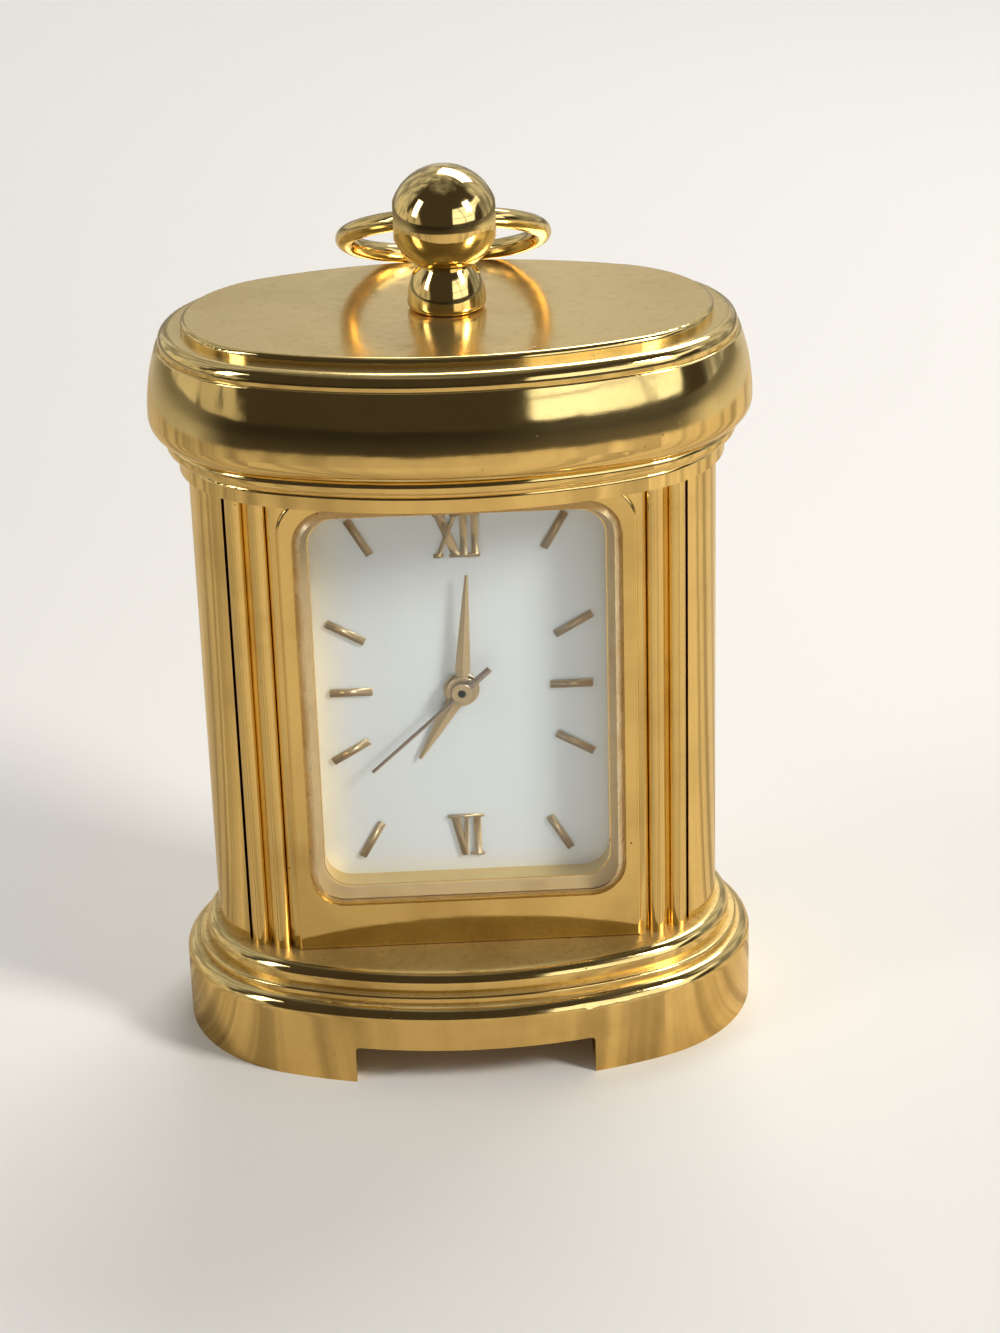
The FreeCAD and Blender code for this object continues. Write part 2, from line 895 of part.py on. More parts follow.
def hour_batons():
    """Ten radial bars, their outer ends on a rectangle inside the dial's edge."""
    batons = []
    for hour in range(1, 12):
        if hour == 6:
            continue
        turn = math.radians(30 * hour)
        across = abs(math.sin(turn)) / baton_half_span
        upward = abs(math.cos(turn)) / baton_half_rise
        reach = 1 / max(across, upward)
        bar = Part.makeBox(
            baton_width,
            marker_thickness,
            baton_length,
            Vector(-baton_width / 2, dial_y - marker_thickness, reach - baton_length),
        )
        bar.rotate(Vector(0, 0, 0), Vector(0, 1, 0), 30 * hour)
        bar.translate(Vector(0, 0, hub_z))
        batons.append(bar)
    return batons


def stroke(x_left, width, shares, bottom, top):
    """One stroke of a numeral, a prism on the dial's face."""
    y = dial_y - marker_thickness
    top_left, top_right, foot_left, foot_right = [x_left + share * width for share in shares]
    corners = [
        Vector(top_left, y, top),
        Vector(top_right, y, top),
        Vector(foot_right, y, bottom),
        Vector(foot_left, y, bottom),
    ]
    outline = Part.makePolygon(corners + corners[:1])
    return Part.Face(outline).extrude(Vector(0, marker_thickness, 0))


def numeral(width, bottom, strokes, top_serifs, foot_serifs):
    top = bottom + numeral_height
    x_left = -width / 2
    pieces = [stroke(x_left, width, shares, bottom, top) for shares in strokes]
    for left, right in top_serifs:
        pieces.append(stroke(x_left, width, (left, right, left, right), top - serif_height, top))
    for left, right in foot_serifs:
        pieces.append(stroke(x_left, width, (left, right, left, right), bottom, bottom + serif_height))
    return fuse(pieces)


def numeral_twelve():
    return numeral(
        twelve_width,
        hub_z + numeral_reach - numeral_height,
        twelve_stroke_shares,
        twelve_top_serif_shares,
        twelve_foot_serif_shares,
    )


def numeral_six():
    return numeral(
        six_width,
        hub_z - numeral_reach,
        six_stroke_shares,
        six_top_serif_shares,
        six_foot_serif_shares,
    )


def hand_blade(length, root_width, tip_width, y_front, thickness):
    """Tapered blade that points up from the hub, widest at its shoulder."""
    shoulder = length * blade_shoulder_share
    corners = [
        Vector(-tip_width / 2, y_front, length),
        Vector(tip_width / 2, y_front, length),
        Vector(root_width / 2, y_front, shoulder),
        Vector(tip_width / 2, y_front, 0),
        Vector(-tip_width / 2, y_front, 0),
        Vector(-root_width / 2, y_front, shoulder),
    ]
    outline = Part.makePolygon(corners + corners[:1])
    return Part.Face(outline).extrude(Vector(0, thickness, 0))


def finished_hand(pieces, bore, angle, y_front, thickness):
    """Hand with its hub bored, turned clockwise to its place over the dial."""
    hand = fuse(pieces)
    hand = hand.cut(rod((0, 0), bore, y_front - overrun, y_front + thickness + overrun))
    hand.rotate(Vector(0, 0, 0), Vector(0, 1, 0), angle)
    hand.translate(Vector(0, 0, hub_z))
    return hand


def shown_angles():
    """Clockwise angles of the hour, minute and seconds hand."""
    seconds = shown_second_count * 6
    minutes = shown_minute_count * 6 + seconds / 60
    hours = shown_hour_count * 30 + minutes / 12
    return hours, minutes, seconds


def hour_hand():
    tip = hour_hand_width * blade_tip_share
    blade = hand_blade(hour_hand_length, hour_hand_width, tip, hour_hand_y, hour_hand_thickness)
    boss = rod((0, 0), hour_hub_radius, hour_hand_y, hour_hand_back_y)
    return finished_hand(
        [blade, boss], hour_pipe_radius, shown_angles()[0], hour_hand_y, hour_hand_thickness
    )


def minute_hand():
    tip = minute_hand_width * blade_tip_share
    blade = hand_blade(
        minute_hand_length, minute_hand_width, tip, minute_hand_y, minute_hand_thickness
    )
    boss = rod((0, 0), minute_hub_radius, minute_hand_y, minute_hand_back_y)
    return finished_hand(
        [blade, boss], minute_pipe_radius, shown_angles()[1], minute_hand_y, minute_hand_thickness
    )


def seconds_hand():
    needle = Part.makeBox(
        seconds_hand_width,
        seconds_hand_thickness,
        seconds_hand_length,
        Vector(-seconds_hand_width / 2, seconds_hand_y, 0),
    )
    tail = Part.makeBox(
        seconds_tail_width,
        seconds_hand_thickness,
        seconds_hand_tail,
        Vector(-seconds_tail_width / 2, seconds_hand_y, -seconds_hand_tail),
    )
    boss = rod((0, 0), seconds_hub_radius, seconds_hand_y, seconds_hand_back_y)
    return finished_hand(
        [needle, tail, boss],
        seconds_arbor_radius,
        shown_angles()[2],
        seconds_hand_y,
        seconds_hand_thickness,
    )


def movement_screw_centres():
    x = (front_cavity_half_width + cavity_half_width) / 2
    heights = (hub_z - movement_screw_rise, hub_z + movement_screw_rise)
    return [(side * x, height) for side in (-1, 1) for height in heights]


def bridge_screw_centres():
    lower = [(x, hub_z + z) for x, z in post_places]
    upper = [(side * core_screw_x, coil_z) for side in (-1, 1)]
    return lower, upper


def bored(plate, centres, radius, y_front, y_back):
    """Plate with round holes through it."""
    for centre in centres:
        plate = plate.cut(rod(centre, radius, y_front - overrun, y_back + overrun))
    return plate


def main_plate():
    plate = hollow(cavity_bottom, plate_play, seat_y, main_plate_y)
    lower, upper = bridge_screw_centres()
    posts = [rod(centre, post_radius, main_plate_y, middle_y) for centre in lower + upper]
    plate = fuse([plate] + posts)
    plate = bored(plate, [hub], hour_pipe_radius + running_clearance, seat_y, main_plate_y)
    plate = bored(plate, movement_screw_centres(), movement_screw_radius, seat_y, main_plate_y)
    for centre in lower + upper:
        plate = plate.cut(rod(centre, bridge_screw_radius, main_plate_y, middle_y + overrun))
    blind_y = main_plate_y - pivot_depth
    plate = plate.cut(rod(third_centre, pivot_radius + running_clearance, blind_y, main_plate_y + overrun))
    plate = plate.cut(
        rod(motion_centre, motion_arbor_radius + running_clearance, blind_y, main_plate_y + overrun)
    )
    return plate


def middle_plate():
    plate = rounded_plate(
        -middle_plate_width / 2,
        middle_plate_width / 2,
        hub_z - middle_plate_height / 2,
        hub_z + middle_plate_height / 2,
        plate_corner,
        middle_y,
        middle_back_y,
    )
    lower, upper = bridge_screw_centres()
    tall = [rod(centre, post_radius, middle_back_y, back_plate_y) for centre in lower]
    short = [rod(centre, core_width / 2, middle_back_y, core_y) for centre in upper]
    plate = fuse([plate] + tall + short)
    plate = bored(plate, lower + upper, bridge_screw_radius, middle_y, back_plate_y)
    plate = bored(plate, [hub], seconds_arbor_radius + running_clearance, middle_y, middle_back_y)
    pivots = [third_centre, fourth_centre, rotor_centre]
    plate = bored(plate, pivots, pivot_radius + running_clearance, middle_y, middle_back_y)
    arbor_hole = motion_arbor_radius + running_clearance
    return bored(plate, [motion_centre], arbor_hole, middle_y, middle_back_y)


def back_plate():
    plate = rounded_plate(
        -back_plate_width / 2,
        back_plate_width / 2,
        hub_z - back_plate_foot,
        hub_z + back_plate_head,
        plate_corner,
        back_plate_y,
        back_plate_back_y,
    )
    lower, upper = bridge_screw_centres()
    stator_back_y = stator_y + core_thickness
    spacers = [rod(centre, core_width / 2, stator_back_y, back_plate_y) for centre in upper]
    plate = fuse([plate] + spacers)
    plate = bored(plate, lower + upper, bridge_screw_radius, stator_back_y, back_plate_back_y)
    pivots = [fourth_centre, rotor_centre]
    plate = bored(plate, pivots, pivot_radius + running_clearance, back_plate_y, back_plate_back_y)
    plate = bored(plate, [hub], seconds_arbor_radius + running_clearance, back_plate_y, back_plate_back_y)
    arbor_hole = motion_arbor_radius + running_clearance
    return bored(plate, [motion_centre], arbor_hole, back_plate_y, back_plate_back_y)


def hour_wheel():
    phase = facing_phase(motion_direction + 180, hour_teeth)
    wheel = gear(hub, hour_teeth, hour_module, phase, hour_y, wheel_thickness)
    barrel = rod(hub, hour_pipe_radius, hour_hand_y, hour_y)
    return bored(fuse([wheel, barrel]), [hub], hour_bore, hour_hand_y, hour_y + wheel_thickness)


def minute_wheel():
    """Centre wheel, cannon pinion and the pipe that carries the minute hand."""
    wheel = gear(hub, minute_teeth, minute_module, third_direction, minute_y, wheel_thickness)
    pinion = gear(hub, cannon_teeth, motion_module, motion_direction, motion_y, minute_y - motion_y)
    barrel = rod(hub, minute_pipe_radius, minute_hand_y, motion_y)
    back_y = minute_y + wheel_thickness
    return bored(fuse([wheel, pinion, barrel]), [hub], minute_bore, minute_hand_y, back_y)


def motion_wheel():
    """Motion wheel and pinion on the arbor that the setting knob turns."""
    wheel_phase = facing_phase(motion_direction, motion_teeth)
    wheel = gear(motion_centre, motion_teeth, motion_module, wheel_phase, motion_y, wheel_thickness)
    pinion_phase = motion_direction + 180
    pinion = gear(motion_centre, motion_pinion_teeth, hour_module, pinion_phase, hour_y, motion_y - hour_y)
    arbor = rod(motion_centre, motion_arbor_radius, main_plate_y - pivot_depth + running_clearance, knob_y)
    return fuse([wheel, pinion, arbor])


def third_wheel():
    wheel_phase = third_direction + 180
    wheel = gear(third_centre, third_teeth, third_module, wheel_phase, third_y, wheel_thickness)
    pinion_phase = facing_phase(third_direction, third_pinion_teeth)
    pinion = gear(
        third_centre, third_pinion_teeth, minute_module, pinion_phase, minute_y, third_y - minute_y
    )
    arbor = rod(third_centre, pivot_radius, main_plate_y - pivot_depth + running_clearance, middle_back_y)
    return fuse([wheel, pinion, arbor])


def seconds_wheel():
    """Seconds wheel and pinion on the long arbor that carries the seconds hand."""
    wheel = gear(hub, seconds_teeth, seconds_module, fourth_direction, seconds_y, wheel_thickness)
    pinion_phase = facing_phase(third_direction + 180, seconds_pinion_teeth)
    pinion = gear(hub, seconds_pinion_teeth, third_module, pinion_phase, third_y, wheel_thickness)
    arbor = rod(hub, seconds_arbor_radius, seconds_hand_y, back_plate_back_y)
    return fuse([wheel, pinion, arbor])


def fourth_wheel():
    wheel = gear(fourth_centre, fourth_teeth, fourth_module, rotor_direction, fourth_y, wheel_thickness)
    pinion_phase = facing_phase(fourth_direction, fourth_pinion_teeth)
    pinion = gear(
        fourth_centre, fourth_pinion_teeth, seconds_module, pinion_phase, seconds_y, fourth_y - seconds_y
    )
    arbor = rod(fourth_centre, pivot_radius, middle_y, back_plate_back_y)
    return fuse([wheel, pinion, arbor])


def rotor():
    """Magnet, pinion and arbor of the stepping motor."""
    pinion_phase = facing_phase(rotor_direction, rotor_pinion_teeth)
    pinion = gear(
        rotor_centre, rotor_pinion_teeth, fourth_module, pinion_phase, fourth_y, magnet_y - fourth_y
    )
    magnet = rod(rotor_centre, magnet_radius, magnet_y, magnet_y + magnet_height)
    arbor = rod(rotor_centre, pivot_radius, middle_y, back_plate_back_y)
    return fuse([pinion, magnet, arbor])


def coil_core():
    core = rounded_plate(
        -core_length / 2,
        core_length / 2,
        coil_z - core_width / 2,
        coil_z + core_width / 2,
        core_width / 4,
        core_y,
        stator_y,
    )
    return bored(core, bridge_screw_centres()[1], bridge_screw_radius, core_y, stator_y)


def coil():
    """Winding on a bobbin with two flanges, along X."""
    bobbin_length = coil_length
    flange_length = coil_clearance * 4
    start = Vector(-bobbin_length / 2, coil_centre_y, coil_z)
    winding = Part.makeCylinder(coil_radius - coil_clearance, bobbin_length, start, Vector(1, 0, 0))
    left = Part.makeCylinder(coil_radius, flange_length, start, Vector(1, 0, 0))
    right = left.translated(Vector(bobbin_length - flange_length, 0, 0))
    core_hole = Part.makeBox(
        bobbin_length + 2 * overrun,
        core_thickness,
        core_width,
        Vector(-bobbin_length / 2 - overrun, core_y, coil_z - core_width / 2),
    )
    return fuse([winding, left, right]).cut(core_hole)


def stator():
    """Soft-iron plate: a bar around the rotor and a leg up to each end of the core."""
    stator_back_y = stator_y + core_thickness
    bar_bottom = rotor_centre[1] - stator_bar_height / 2
    bar = rounded_plate(
        -core_length / 2,
        core_length / 2,
        bar_bottom,
        bar_bottom + stator_bar_height,
        core_width / 4,
        stator_y,
        stator_back_y,
    )
    leg = rounded_plate(
        core_length / 2 - core_width,
        core_length / 2,
        bar_bottom,
        coil_z + core_width / 2,
        core_width / 4,
        stator_y,
        stator_back_y,
    )
    plate = fuse([bar] + both_sides(leg))
    plate = bored(plate, [rotor_centre], magnet_radius + stator_air_gap, stator_y, stator_back_y)
    return bored(plate, bridge_screw_centres()[1], bridge_screw_radius, stator_y, stator_back_y)


def button_cell():
    centre = (-cell_left, hub_z - cell_drop)
    step = cell_height / 4
    can = rod(centre, cell_radius, middle_back_y, middle_back_y + cell_height - step)
    lid = rod(centre, cell_radius - step / 2, middle_back_y, middle_back_y + cell_height)
    return fuse([can, lid])


def cell_strap():
    """Spring strap over the cell with a leg down to the plate at each side."""
    reach = cell_radius + strap_gap + strap_thickness
    top_y = middle_back_y + cell_height
    z_low = hub_z - cell_drop - strap_width / 2
    outer = Part.makeBox(
        2 * reach,
        top_y + strap_thickness - middle_back_y,
        strap_width,
        Vector(-cell_left - reach, middle_back_y, z_low),
    )
    inner_reach = reach - strap_thickness
    inner = Part.makeBox(
        2 * inner_reach,
        top_y - middle_back_y + overrun,
        strap_width + 2 * overrun,
        Vector(-cell_left - inner_reach, middle_back_y - overrun, z_low - overrun),
    )
    return outer.cut(inner)


def circuit_board():
    return rounded_plate(
        board_left,
        board_right,
        hub_z - board_bottom_drop,
        hub_z - board_top_drop,
        board_corner,
        middle_back_y,
        middle_back_y + board_thickness,
    )


def chip():
    centre = (chip_right, hub_z - chip_drop)
    y = middle_back_y + board_thickness
    blob = rod(centre, chip_radius, y, y + chip_height)
    return blob.makeFillet(chip_height / 2, edges_at_y(blob, y + chip_height))


def quartz_can():
    y = middle_back_y + board_thickness + can_radius
    start = Vector(can_right - can_length / 2, y, hub_z - can_drop)
    return Part.makeCylinder(can_radius, can_length, start, Vector(1, 0, 0))


def bridge_screws():
    """Four screws through back plate, posts, core and middle plate into the main plate."""
    lower, upper = bridge_screw_centres()
    length = back_plate_back_y - main_plate_y - bridge_screw_end_gap
    return [
        screw(
            Vector(centre[0], back_plate_back_y, centre[1]),
            Vector(0, -1, 0),
            bridge_screw_radius,
            length,
            bridge_screw_head_radius,
            bridge_screw_head_height,
        )
        for centre in lower + upper
    ]


def movement_screws():
    """Four screws that hold the main plate on the column's inner ledge."""
    return [
        screw(
            Vector(centre[0], main_plate_y, centre[1]),
            Vector(0, -1, 0),
            movement_screw_radius,
            main_plate_thickness + movement_screw_thread,
            movement_screw_head_radius,
            movement_screw_head_height,
        )
        for centre in movement_screw_centres()
    ]


def setting_knob():
    """Fluted knob on the motion arbor, reached through the back cover."""
    body = rod(motion_centre, knob_radius, knob_y, knob_y + knob_height)
    body = body.makeFillet(knob_edge_round, edges_at_y(body, knob_y + knob_height))
    for index in range(knob_groove_count):
        centre = place_from(motion_centre, knob_radius, 360 * index / knob_groove_count)
        body = body.cut(rod(centre, knob_groove_radius, knob_y - overrun, knob_y + knob_height + overrun))
    return body


def back_cover():
    """Plate with a thin rim that pushes into the column's cavity from behind."""
    plate = hollow(cavity_bottom, cover_play, cover_front_y, cover_back_y)
    rim_front_y = cover_front_y - cover_rim_depth
    rim = hollow(cavity_bottom, cover_play, rim_front_y, cover_front_y)
    inner = hollow(cavity_bottom, cover_play + cover_rim_wall, rim_front_y - overrun, cover_front_y)
    cover = fuse([plate, rim.cut(inner)])
    hole = rod(motion_centre, knob_radius + knob_hole_play, cover_front_y - overrun, cover_back_y + overrun)
    notch_centre = (0, cavity_bottom)
    notch_front_y = cover_back_y - cover_thickness / 2
    notch = rod(notch_centre, cover_notch_radius, notch_front_y, cover_back_y + overrun)
    return cover.cut(hole).cut(notch)


makers = (
    plinth,
    column,
    cap,
    finial,
    finial_washer,
    finial_nut,
    carry_ring,
    tie_screws,
    crystal,
    crystal_gasket,
    window_liner,
    dial,
    hour_batons,
    numeral_twelve,
    numeral_six,
    hour_hand,
    minute_hand,
    seconds_hand,
    main_plate,
    middle_plate,
    back_plate,
    hour_wheel,
    minute_wheel,
    motion_wheel,
    third_wheel,
    seconds_wheel,
    fourth_wheel,
    rotor,
    coil_core,
    coil,
    stator,
    button_cell,
    cell_strap,
    circuit_board,
    chip,
    quartz_can,
    bridge_screws,
    movement_screws,
    setting_knob,
    back_cover,
)

os.makedirs("parts", exist_ok=True)
for maker in makers:
    made = maker()
    shape = Part.makeCompound(made) if isinstance(made, list) else made
    name = maker.__name__
    shape.exportStep(f"parts/{name}.step")
    print(name, len(shape.Solids), round(shape.Volume, 3), shape.isValid())
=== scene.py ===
import math

import bmesh
import bpy
from bpy.props import FloatProperty, FloatVectorProperty, PointerProperty
from mathutils import Matrix, Vector


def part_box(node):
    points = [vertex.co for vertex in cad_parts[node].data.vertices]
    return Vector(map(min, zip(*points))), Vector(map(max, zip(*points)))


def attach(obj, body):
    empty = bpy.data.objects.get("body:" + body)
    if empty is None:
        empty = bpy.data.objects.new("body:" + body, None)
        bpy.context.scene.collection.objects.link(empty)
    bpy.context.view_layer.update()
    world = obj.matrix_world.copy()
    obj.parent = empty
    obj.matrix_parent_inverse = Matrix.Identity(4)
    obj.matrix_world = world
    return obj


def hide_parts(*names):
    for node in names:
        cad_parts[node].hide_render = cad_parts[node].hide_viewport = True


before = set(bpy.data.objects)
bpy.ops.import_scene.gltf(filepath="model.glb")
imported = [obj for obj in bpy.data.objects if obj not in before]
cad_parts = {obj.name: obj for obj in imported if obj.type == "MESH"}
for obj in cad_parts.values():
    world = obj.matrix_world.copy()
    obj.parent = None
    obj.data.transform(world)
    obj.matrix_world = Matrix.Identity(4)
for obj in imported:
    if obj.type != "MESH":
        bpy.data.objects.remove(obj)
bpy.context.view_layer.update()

bl_info = {
    "name": "Column Desk Clock",
    "version": (1, 0, 0),
    "blender": (4, 5, 0),
    "location": "View3D > Sidebar > Clock",
    "description": "Dresses a small column desk clock in polished gold, with its dial, hands and crystal",
    "category": "Object",
}

MM = 0.001

# The dial's box, and the point of the dial that the hands turn about
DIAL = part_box("dial")
HUB_HEIGHT = 28.2 * MM
HUB = Vector((0, DIAL[0][1], HUB_HEIGHT))

# Outline of the hour and the minute blade: shares of the hand's length and of half its width
BLADE_SHARES = ((0.0, 0.3), (0.2, 1.0), (0.6, 0.62), (1.0, 0.2))

# Thickness of a blade at its edges and of the needle at its edges, as shares of the whole
BLADE_EDGE_SHARE = 0.3
NEEDLE_EDGE_SHARE = 0.4

# Width of the needle at its tip, as a share of its width at the hub
NEEDLE_TIP_SHARE = 0.85

# Rounding of the applied markers, and the distance within which split corners are joined
MARKER_BEVEL = 0.05 * MM
CORNER_GAP = 0.002 * MM

# Bands over which the painted warm light from the lit liner fades on the dial, in millimetres from its left
# edge and from its foot
LINER_GLOW_EDGE = (2.6, 5.6)
LINER_GLOW_FOOT = (1.9, 4.0)

# How far the faces of the crystal's bevel look forward
BEVEL_SLANT = (-0.95, -0.2)

# Tones that the panel leaves out; a pair is a plain tone and the tone that clouds it
DIAL_STAIN = (0.62, 0.58, 0.50)
PANE_CLEAR = (0.92, 0.94, 0.95)
PANE_DUST = (0.85, 0.83, 0.78)
# Painted light and dark in the gold that the crystal's bevel reflects
RIM_PAINTED_LIGHT = (0.93, 0.82, 0.60)
RIM_PAINTED_DARK = (0.42, 0.30, 0.14)
SEAL_TONES = ((0.72, 0.56, 0.30), (0.55, 0.40, 0.18))
CELL_TONES = ((0.70, 0.70, 0.69), (0.5, 0.5, 0.5))
MAGNET_TONES = ((0.10, 0.10, 0.11), (0.16, 0.15, 0.15))
COPPER_TONES = ((0.72, 0.34, 0.16), (0.40, 0.16, 0.07))
BOARD_TONES = ((0.03, 0.20, 0.09), (0.02, 0.13, 0.06))
RESIN_TONES = ((0.02, 0.02, 0.02), (0.04, 0.04, 0.04))
CURTAIN_TONES = ((0.26, 0.26, 0.25), (0.68, 0.67, 0.63))
WINDOW_LIGHT = (1.5, 1.5, 1.42)
WARM_WALL = (0.75, 0.68, 0.52)
FAR_FLOOR = (0.60, 0.55, 0.45)
NO_LIGHT = (0.0, 0.0, 0.0)

# Camera fitted to the outline of the clock, in metres, with its lens and sensor in millimetres
CAMERA_PLACE = (-0.003453, -0.215596, 0.126580)
CAMERA_RIGHT = (0.99875, -0.04217, -0.02671)
CAMERA_UP = (0.04185, 0.41569, 0.90854)
CAMERA_FORWARD = (0.02721, 0.90853, -0.41693)
CAMERA_LENS = 85.85
CAMERA_SENSOR = 36.0
CAMERA_NEAREST = 0.01

# Places of the lamps and the point that they look at, in metres
RIGHT_LAMP = (0.28, -0.165, 0.25)
LEFT_LAMP = (-0.30, -0.12, 0.22)
BACK_LAMP = (0.10, 0.22, 0.34)
LAMP_TARGET = (0, 0, 0.035)

# Brightest spot of the floor, as a share of the way from the clock to below the right lamp
BRIGHT_SPOT_SHARE = 0.8

# Bands of the floor, in metres: where the spot's grey fades out, where the pale lift fades in,
# and where the gold stops seeing the near floor
GREY_BAND = (0.05, 0.30)
LIFT_BAND = (0.10, 0.55)
FAR_BAND = (0.19, 0.215)


def length(name, description, default):
    """Length property with a plain name, shown in the scene's units."""
    return FloatProperty(name=name, description=description, default=default, unit="LENGTH", precision=5)


def power(name, description, default):
    """Power property of a lamp."""
    return FloatProperty(name=name, description=description, default=default, unit="POWER")


def colour(name, description, default):
    """Colour property without alpha."""
    return FloatVectorProperty(
        name=name, description=description, default=default, size=3, subtype="COLOR", min=0, max=1
    )


class ClockColours(bpy.types.PropertyGroup):
    """Colours of the clock's finishes."""

    gold: colour("Gold", "Polished gold plate", (0.88, 0.67, 0.29))
    worn_gold: colour("Worn gold", "Gold plate where it has thinned or tarnished", (0.52, 0.35, 0.12))
    pale_gold: colour("Pale gold", "Liner behind the crystal", (0.88, 0.68, 0.32))
    needle: colour("Needle", "Seconds hand, duller than the others", (0.46, 0.38, 0.32))
    marker_gold: colour("Marker gold", "Applied markers and hands", (0.76, 0.61, 0.36))
    dial: colour("Dial", "Satin lacquer of the dial", (0.81, 0.87, 0.88))
    # Painted warm light that the lit liner throws on the dial along its left edge and its foot
    dial_liner_glow: colour("Dial edge", "Creamy tone along the dial's left edge", (0.94, 0.91, 0.76))
    # Painted reflection of the gold in the crystal's bevel
    crystal_rim_reflection: colour("Crystal rim", "Bevel of the crystal, which picks up the metal", (0.80, 0.64, 0.38))
    brass: colour("Brass", "Plates and wheels of the movement", (0.72, 0.55, 0.26))
    steel: colour("Steel", "Screws, strap and stator", (0.58, 0.59, 0.60))
    floor: colour("Floor", "Plain floor", (0.80, 0.77, 0.72))
    floor_glow: colour("Floor glow", "Warm tone that the floor throws on the gold", (0.64, 0.52, 0.35))
    floor_shade: colour("Floor shade", "Dark streaks of the floor in the gold", (0.16, 0.12, 0.07))
    room_dark: colour("Dark room", "Dark side of the room in the gold", (0.055, 0.045, 0.032))
    backdrop: colour("Backdrop", "Plain background", (0.78, 0.80, 0.82))


class HandSizes(bpy.types.PropertyGroup):
    """Sizes of the three hands and the time that they show."""

    hour_length: length("Hour hand", "Hub to tip", 6.4 * MM)
    hour_width: length("Hour width", "Widest part of the hour blade", 1.25 * MM)
    hour_hub: length("Hour hub", "Radius of the hour hand's disc", 1.32 * MM)
    minute_length: length("Minute hand", "Hub to tip", 9.2 * MM)
    minute_width: length("Minute width", "Widest part of the minute blade", 1.12 * MM)
    minute_hub: length("Minute hub", "Radius of the minute hand's disc", 1.15 * MM)
    second_length: length("Seconds hand", "Hub to tip", 9.1 * MM)
    second_tail: length("Seconds tail", "Hub to the end of the tail", 2.8 * MM)
    second_width: length("Seconds width", "Width of the needle at the hub", 0.3 * MM)
    tail_width: length("Tail width", "Width of the tail", 0.5 * MM)
    second_hub: length("Seconds hub", "Radius of the seconds hand's disc", 0.78 * MM)
    minutes: FloatProperty(
        name="Minutes", description="Minutes after midnight", default=420.6333, precision=4
    )


class StageSizes(bpy.types.PropertyGroup):
    """Floor, lamps and room around the clock."""

    floor_size: length("Floor", "Side of the square floor", 6.0)
    key_power: power("Key lamp", "Power of the lamp at the right", 1.15)
    fill_power: power("Fill lamp", "Power of the lamp at the left", 0.22)
    top_power: power("Top lamp", "Power of the lamp behind", 0.9)
    room_light: FloatProperty(
        name="Room light", description="Strength of the even light of the room", default=0.37
    )


class ClockSettings(bpy.types.PropertyGroup):
    """All sizes and colours that a user may change."""

    colours: PointerProperty(type=ClockColours)
    hands: PointerProperty(type=HandSizes)
    stage: PointerProperty(type=StageSizes)


class Wire:
    """Value in a finish that can be used in plain sums and products."""

    def __init__(self, finish, socket):
        self.finish = finish
        self.socket = socket

    def math(self, operation, *others):
        values = dict(enumerate((self,) + others))
        return self.finish.node("ShaderNodeMath", {"operation": operation}, values)

    def reflected(self, operation, other):
        return self.finish.node("ShaderNodeMath", {"operation": operation}, {0: other, 1: self})

    def __add__(self, other):
        return self.math("ADD", other)

    def __radd__(self, other):
        return self.reflected("ADD", other)

    def __sub__(self, other):
        return self.math("SUBTRACT", other)

    def __rsub__(self, other):
        return self.reflected("SUBTRACT", other)

    def __mul__(self, other):
        return self.math("MULTIPLY", other)

    def __rmul__(self, other):
        return self.reflected("MULTIPLY", other)

    def __truediv__(self, other):
        return self.math("DIVIDE", other)

    def __pow__(self, other):
        return self.math("POWER", other)


class Finish:
    """Material of the clock, built from nodes."""

    def __init__(self, name):
        self.material = bpy.data.materials.new(name)
        self.material.use_nodes = True
        self.tree = self.material.node_tree
        self.tree.nodes.clear()

    def node(self, kind, settings=None, sockets=None, out=0):
        """Node with its settings made first, then the values or links of its sockets."""
        made = self.tree.nodes.new(kind)
        for key, value in (settings or {}).items():
            setattr(made, key, value)
        for key, value in (sockets or {}).items():
            if isinstance(value, Wire):
                self.tree.links.new(value.socket, made.inputs[key])
            else:
                made.inputs[key].default_value = value
        return Wire(self, made.outputs[out]) if made.outputs else None

    def place(self, stretch=(1, 1, 1)):
        """Place on the piece in millimetres, squeezed along each axis by the stretch."""
        scale = [share / MM for share in stretch]
        point = self.node("ShaderNodeTexCoord", out="Object")
        return self.node("ShaderNodeMapping", None, {"Vector": point, "Scale": scale})

    def axis(self, vector, index):
        return self.node("ShaderNodeSeparateXYZ", None, {0: vector}, out=index)

    def facing(self, index):
        """Share of the surface's direction along one axis, before any bump."""
        return self.axis(self.node("ShaderNodeTexCoord", out="Normal"), index)

    def noise(self, vector, scale, detail=3.0, roughness=0.5):
        sockets = {"Vector": vector, "Scale": scale, "Detail": detail, "Roughness": roughness}
        return self.node("ShaderNodeTexNoise", None, sockets)

    def cells(self, vector, scale):
        return self.node("ShaderNodeTexVoronoi", None, {"Vector": vector, "Scale": scale})

    def step(self, value, low, high):
        """Smooth rise from 0 at low to 1 at high."""
        settings = {"interpolation_type": "SMOOTHSTEP"}
        sockets = {"Value": value, "From Min": low, "From Max": high}
        return self.node("ShaderNodeMapRange", settings, sockets)

    def blend(self, share, first, second):
        """Mix of two colours by a share."""
        sockets = {0: share, 6: rgba(first), 7: rgba(second)}
        return self.node("ShaderNodeMix", {"data_type": "RGBA"}, sockets, out=2)

    def bump(self, height, distance, strength=1.0, normal=None):
        sockets = {"Height": height, "Distance": distance, "Strength": strength}
        if normal:
            sockets["Normal"] = normal
        return self.node("ShaderNodeBump", None, sockets)

    def done(self, **sockets):
        """Shader and output of the finish, with sockets named in plain words."""
        named = {key.replace("_", " ").title(): value for key, value in sockets.items()}
        renamed = {"Ior": "IOR", "Specular Ior Level": "Specular IOR Level"}
        named = {renamed.get(key, key): value for key, value in named.items()}
        shader = self.node("ShaderNodeBsdfPrincipled", None, named)
        self.node("ShaderNodeOutputMaterial", None, {"Surface": shader})
        return self.material


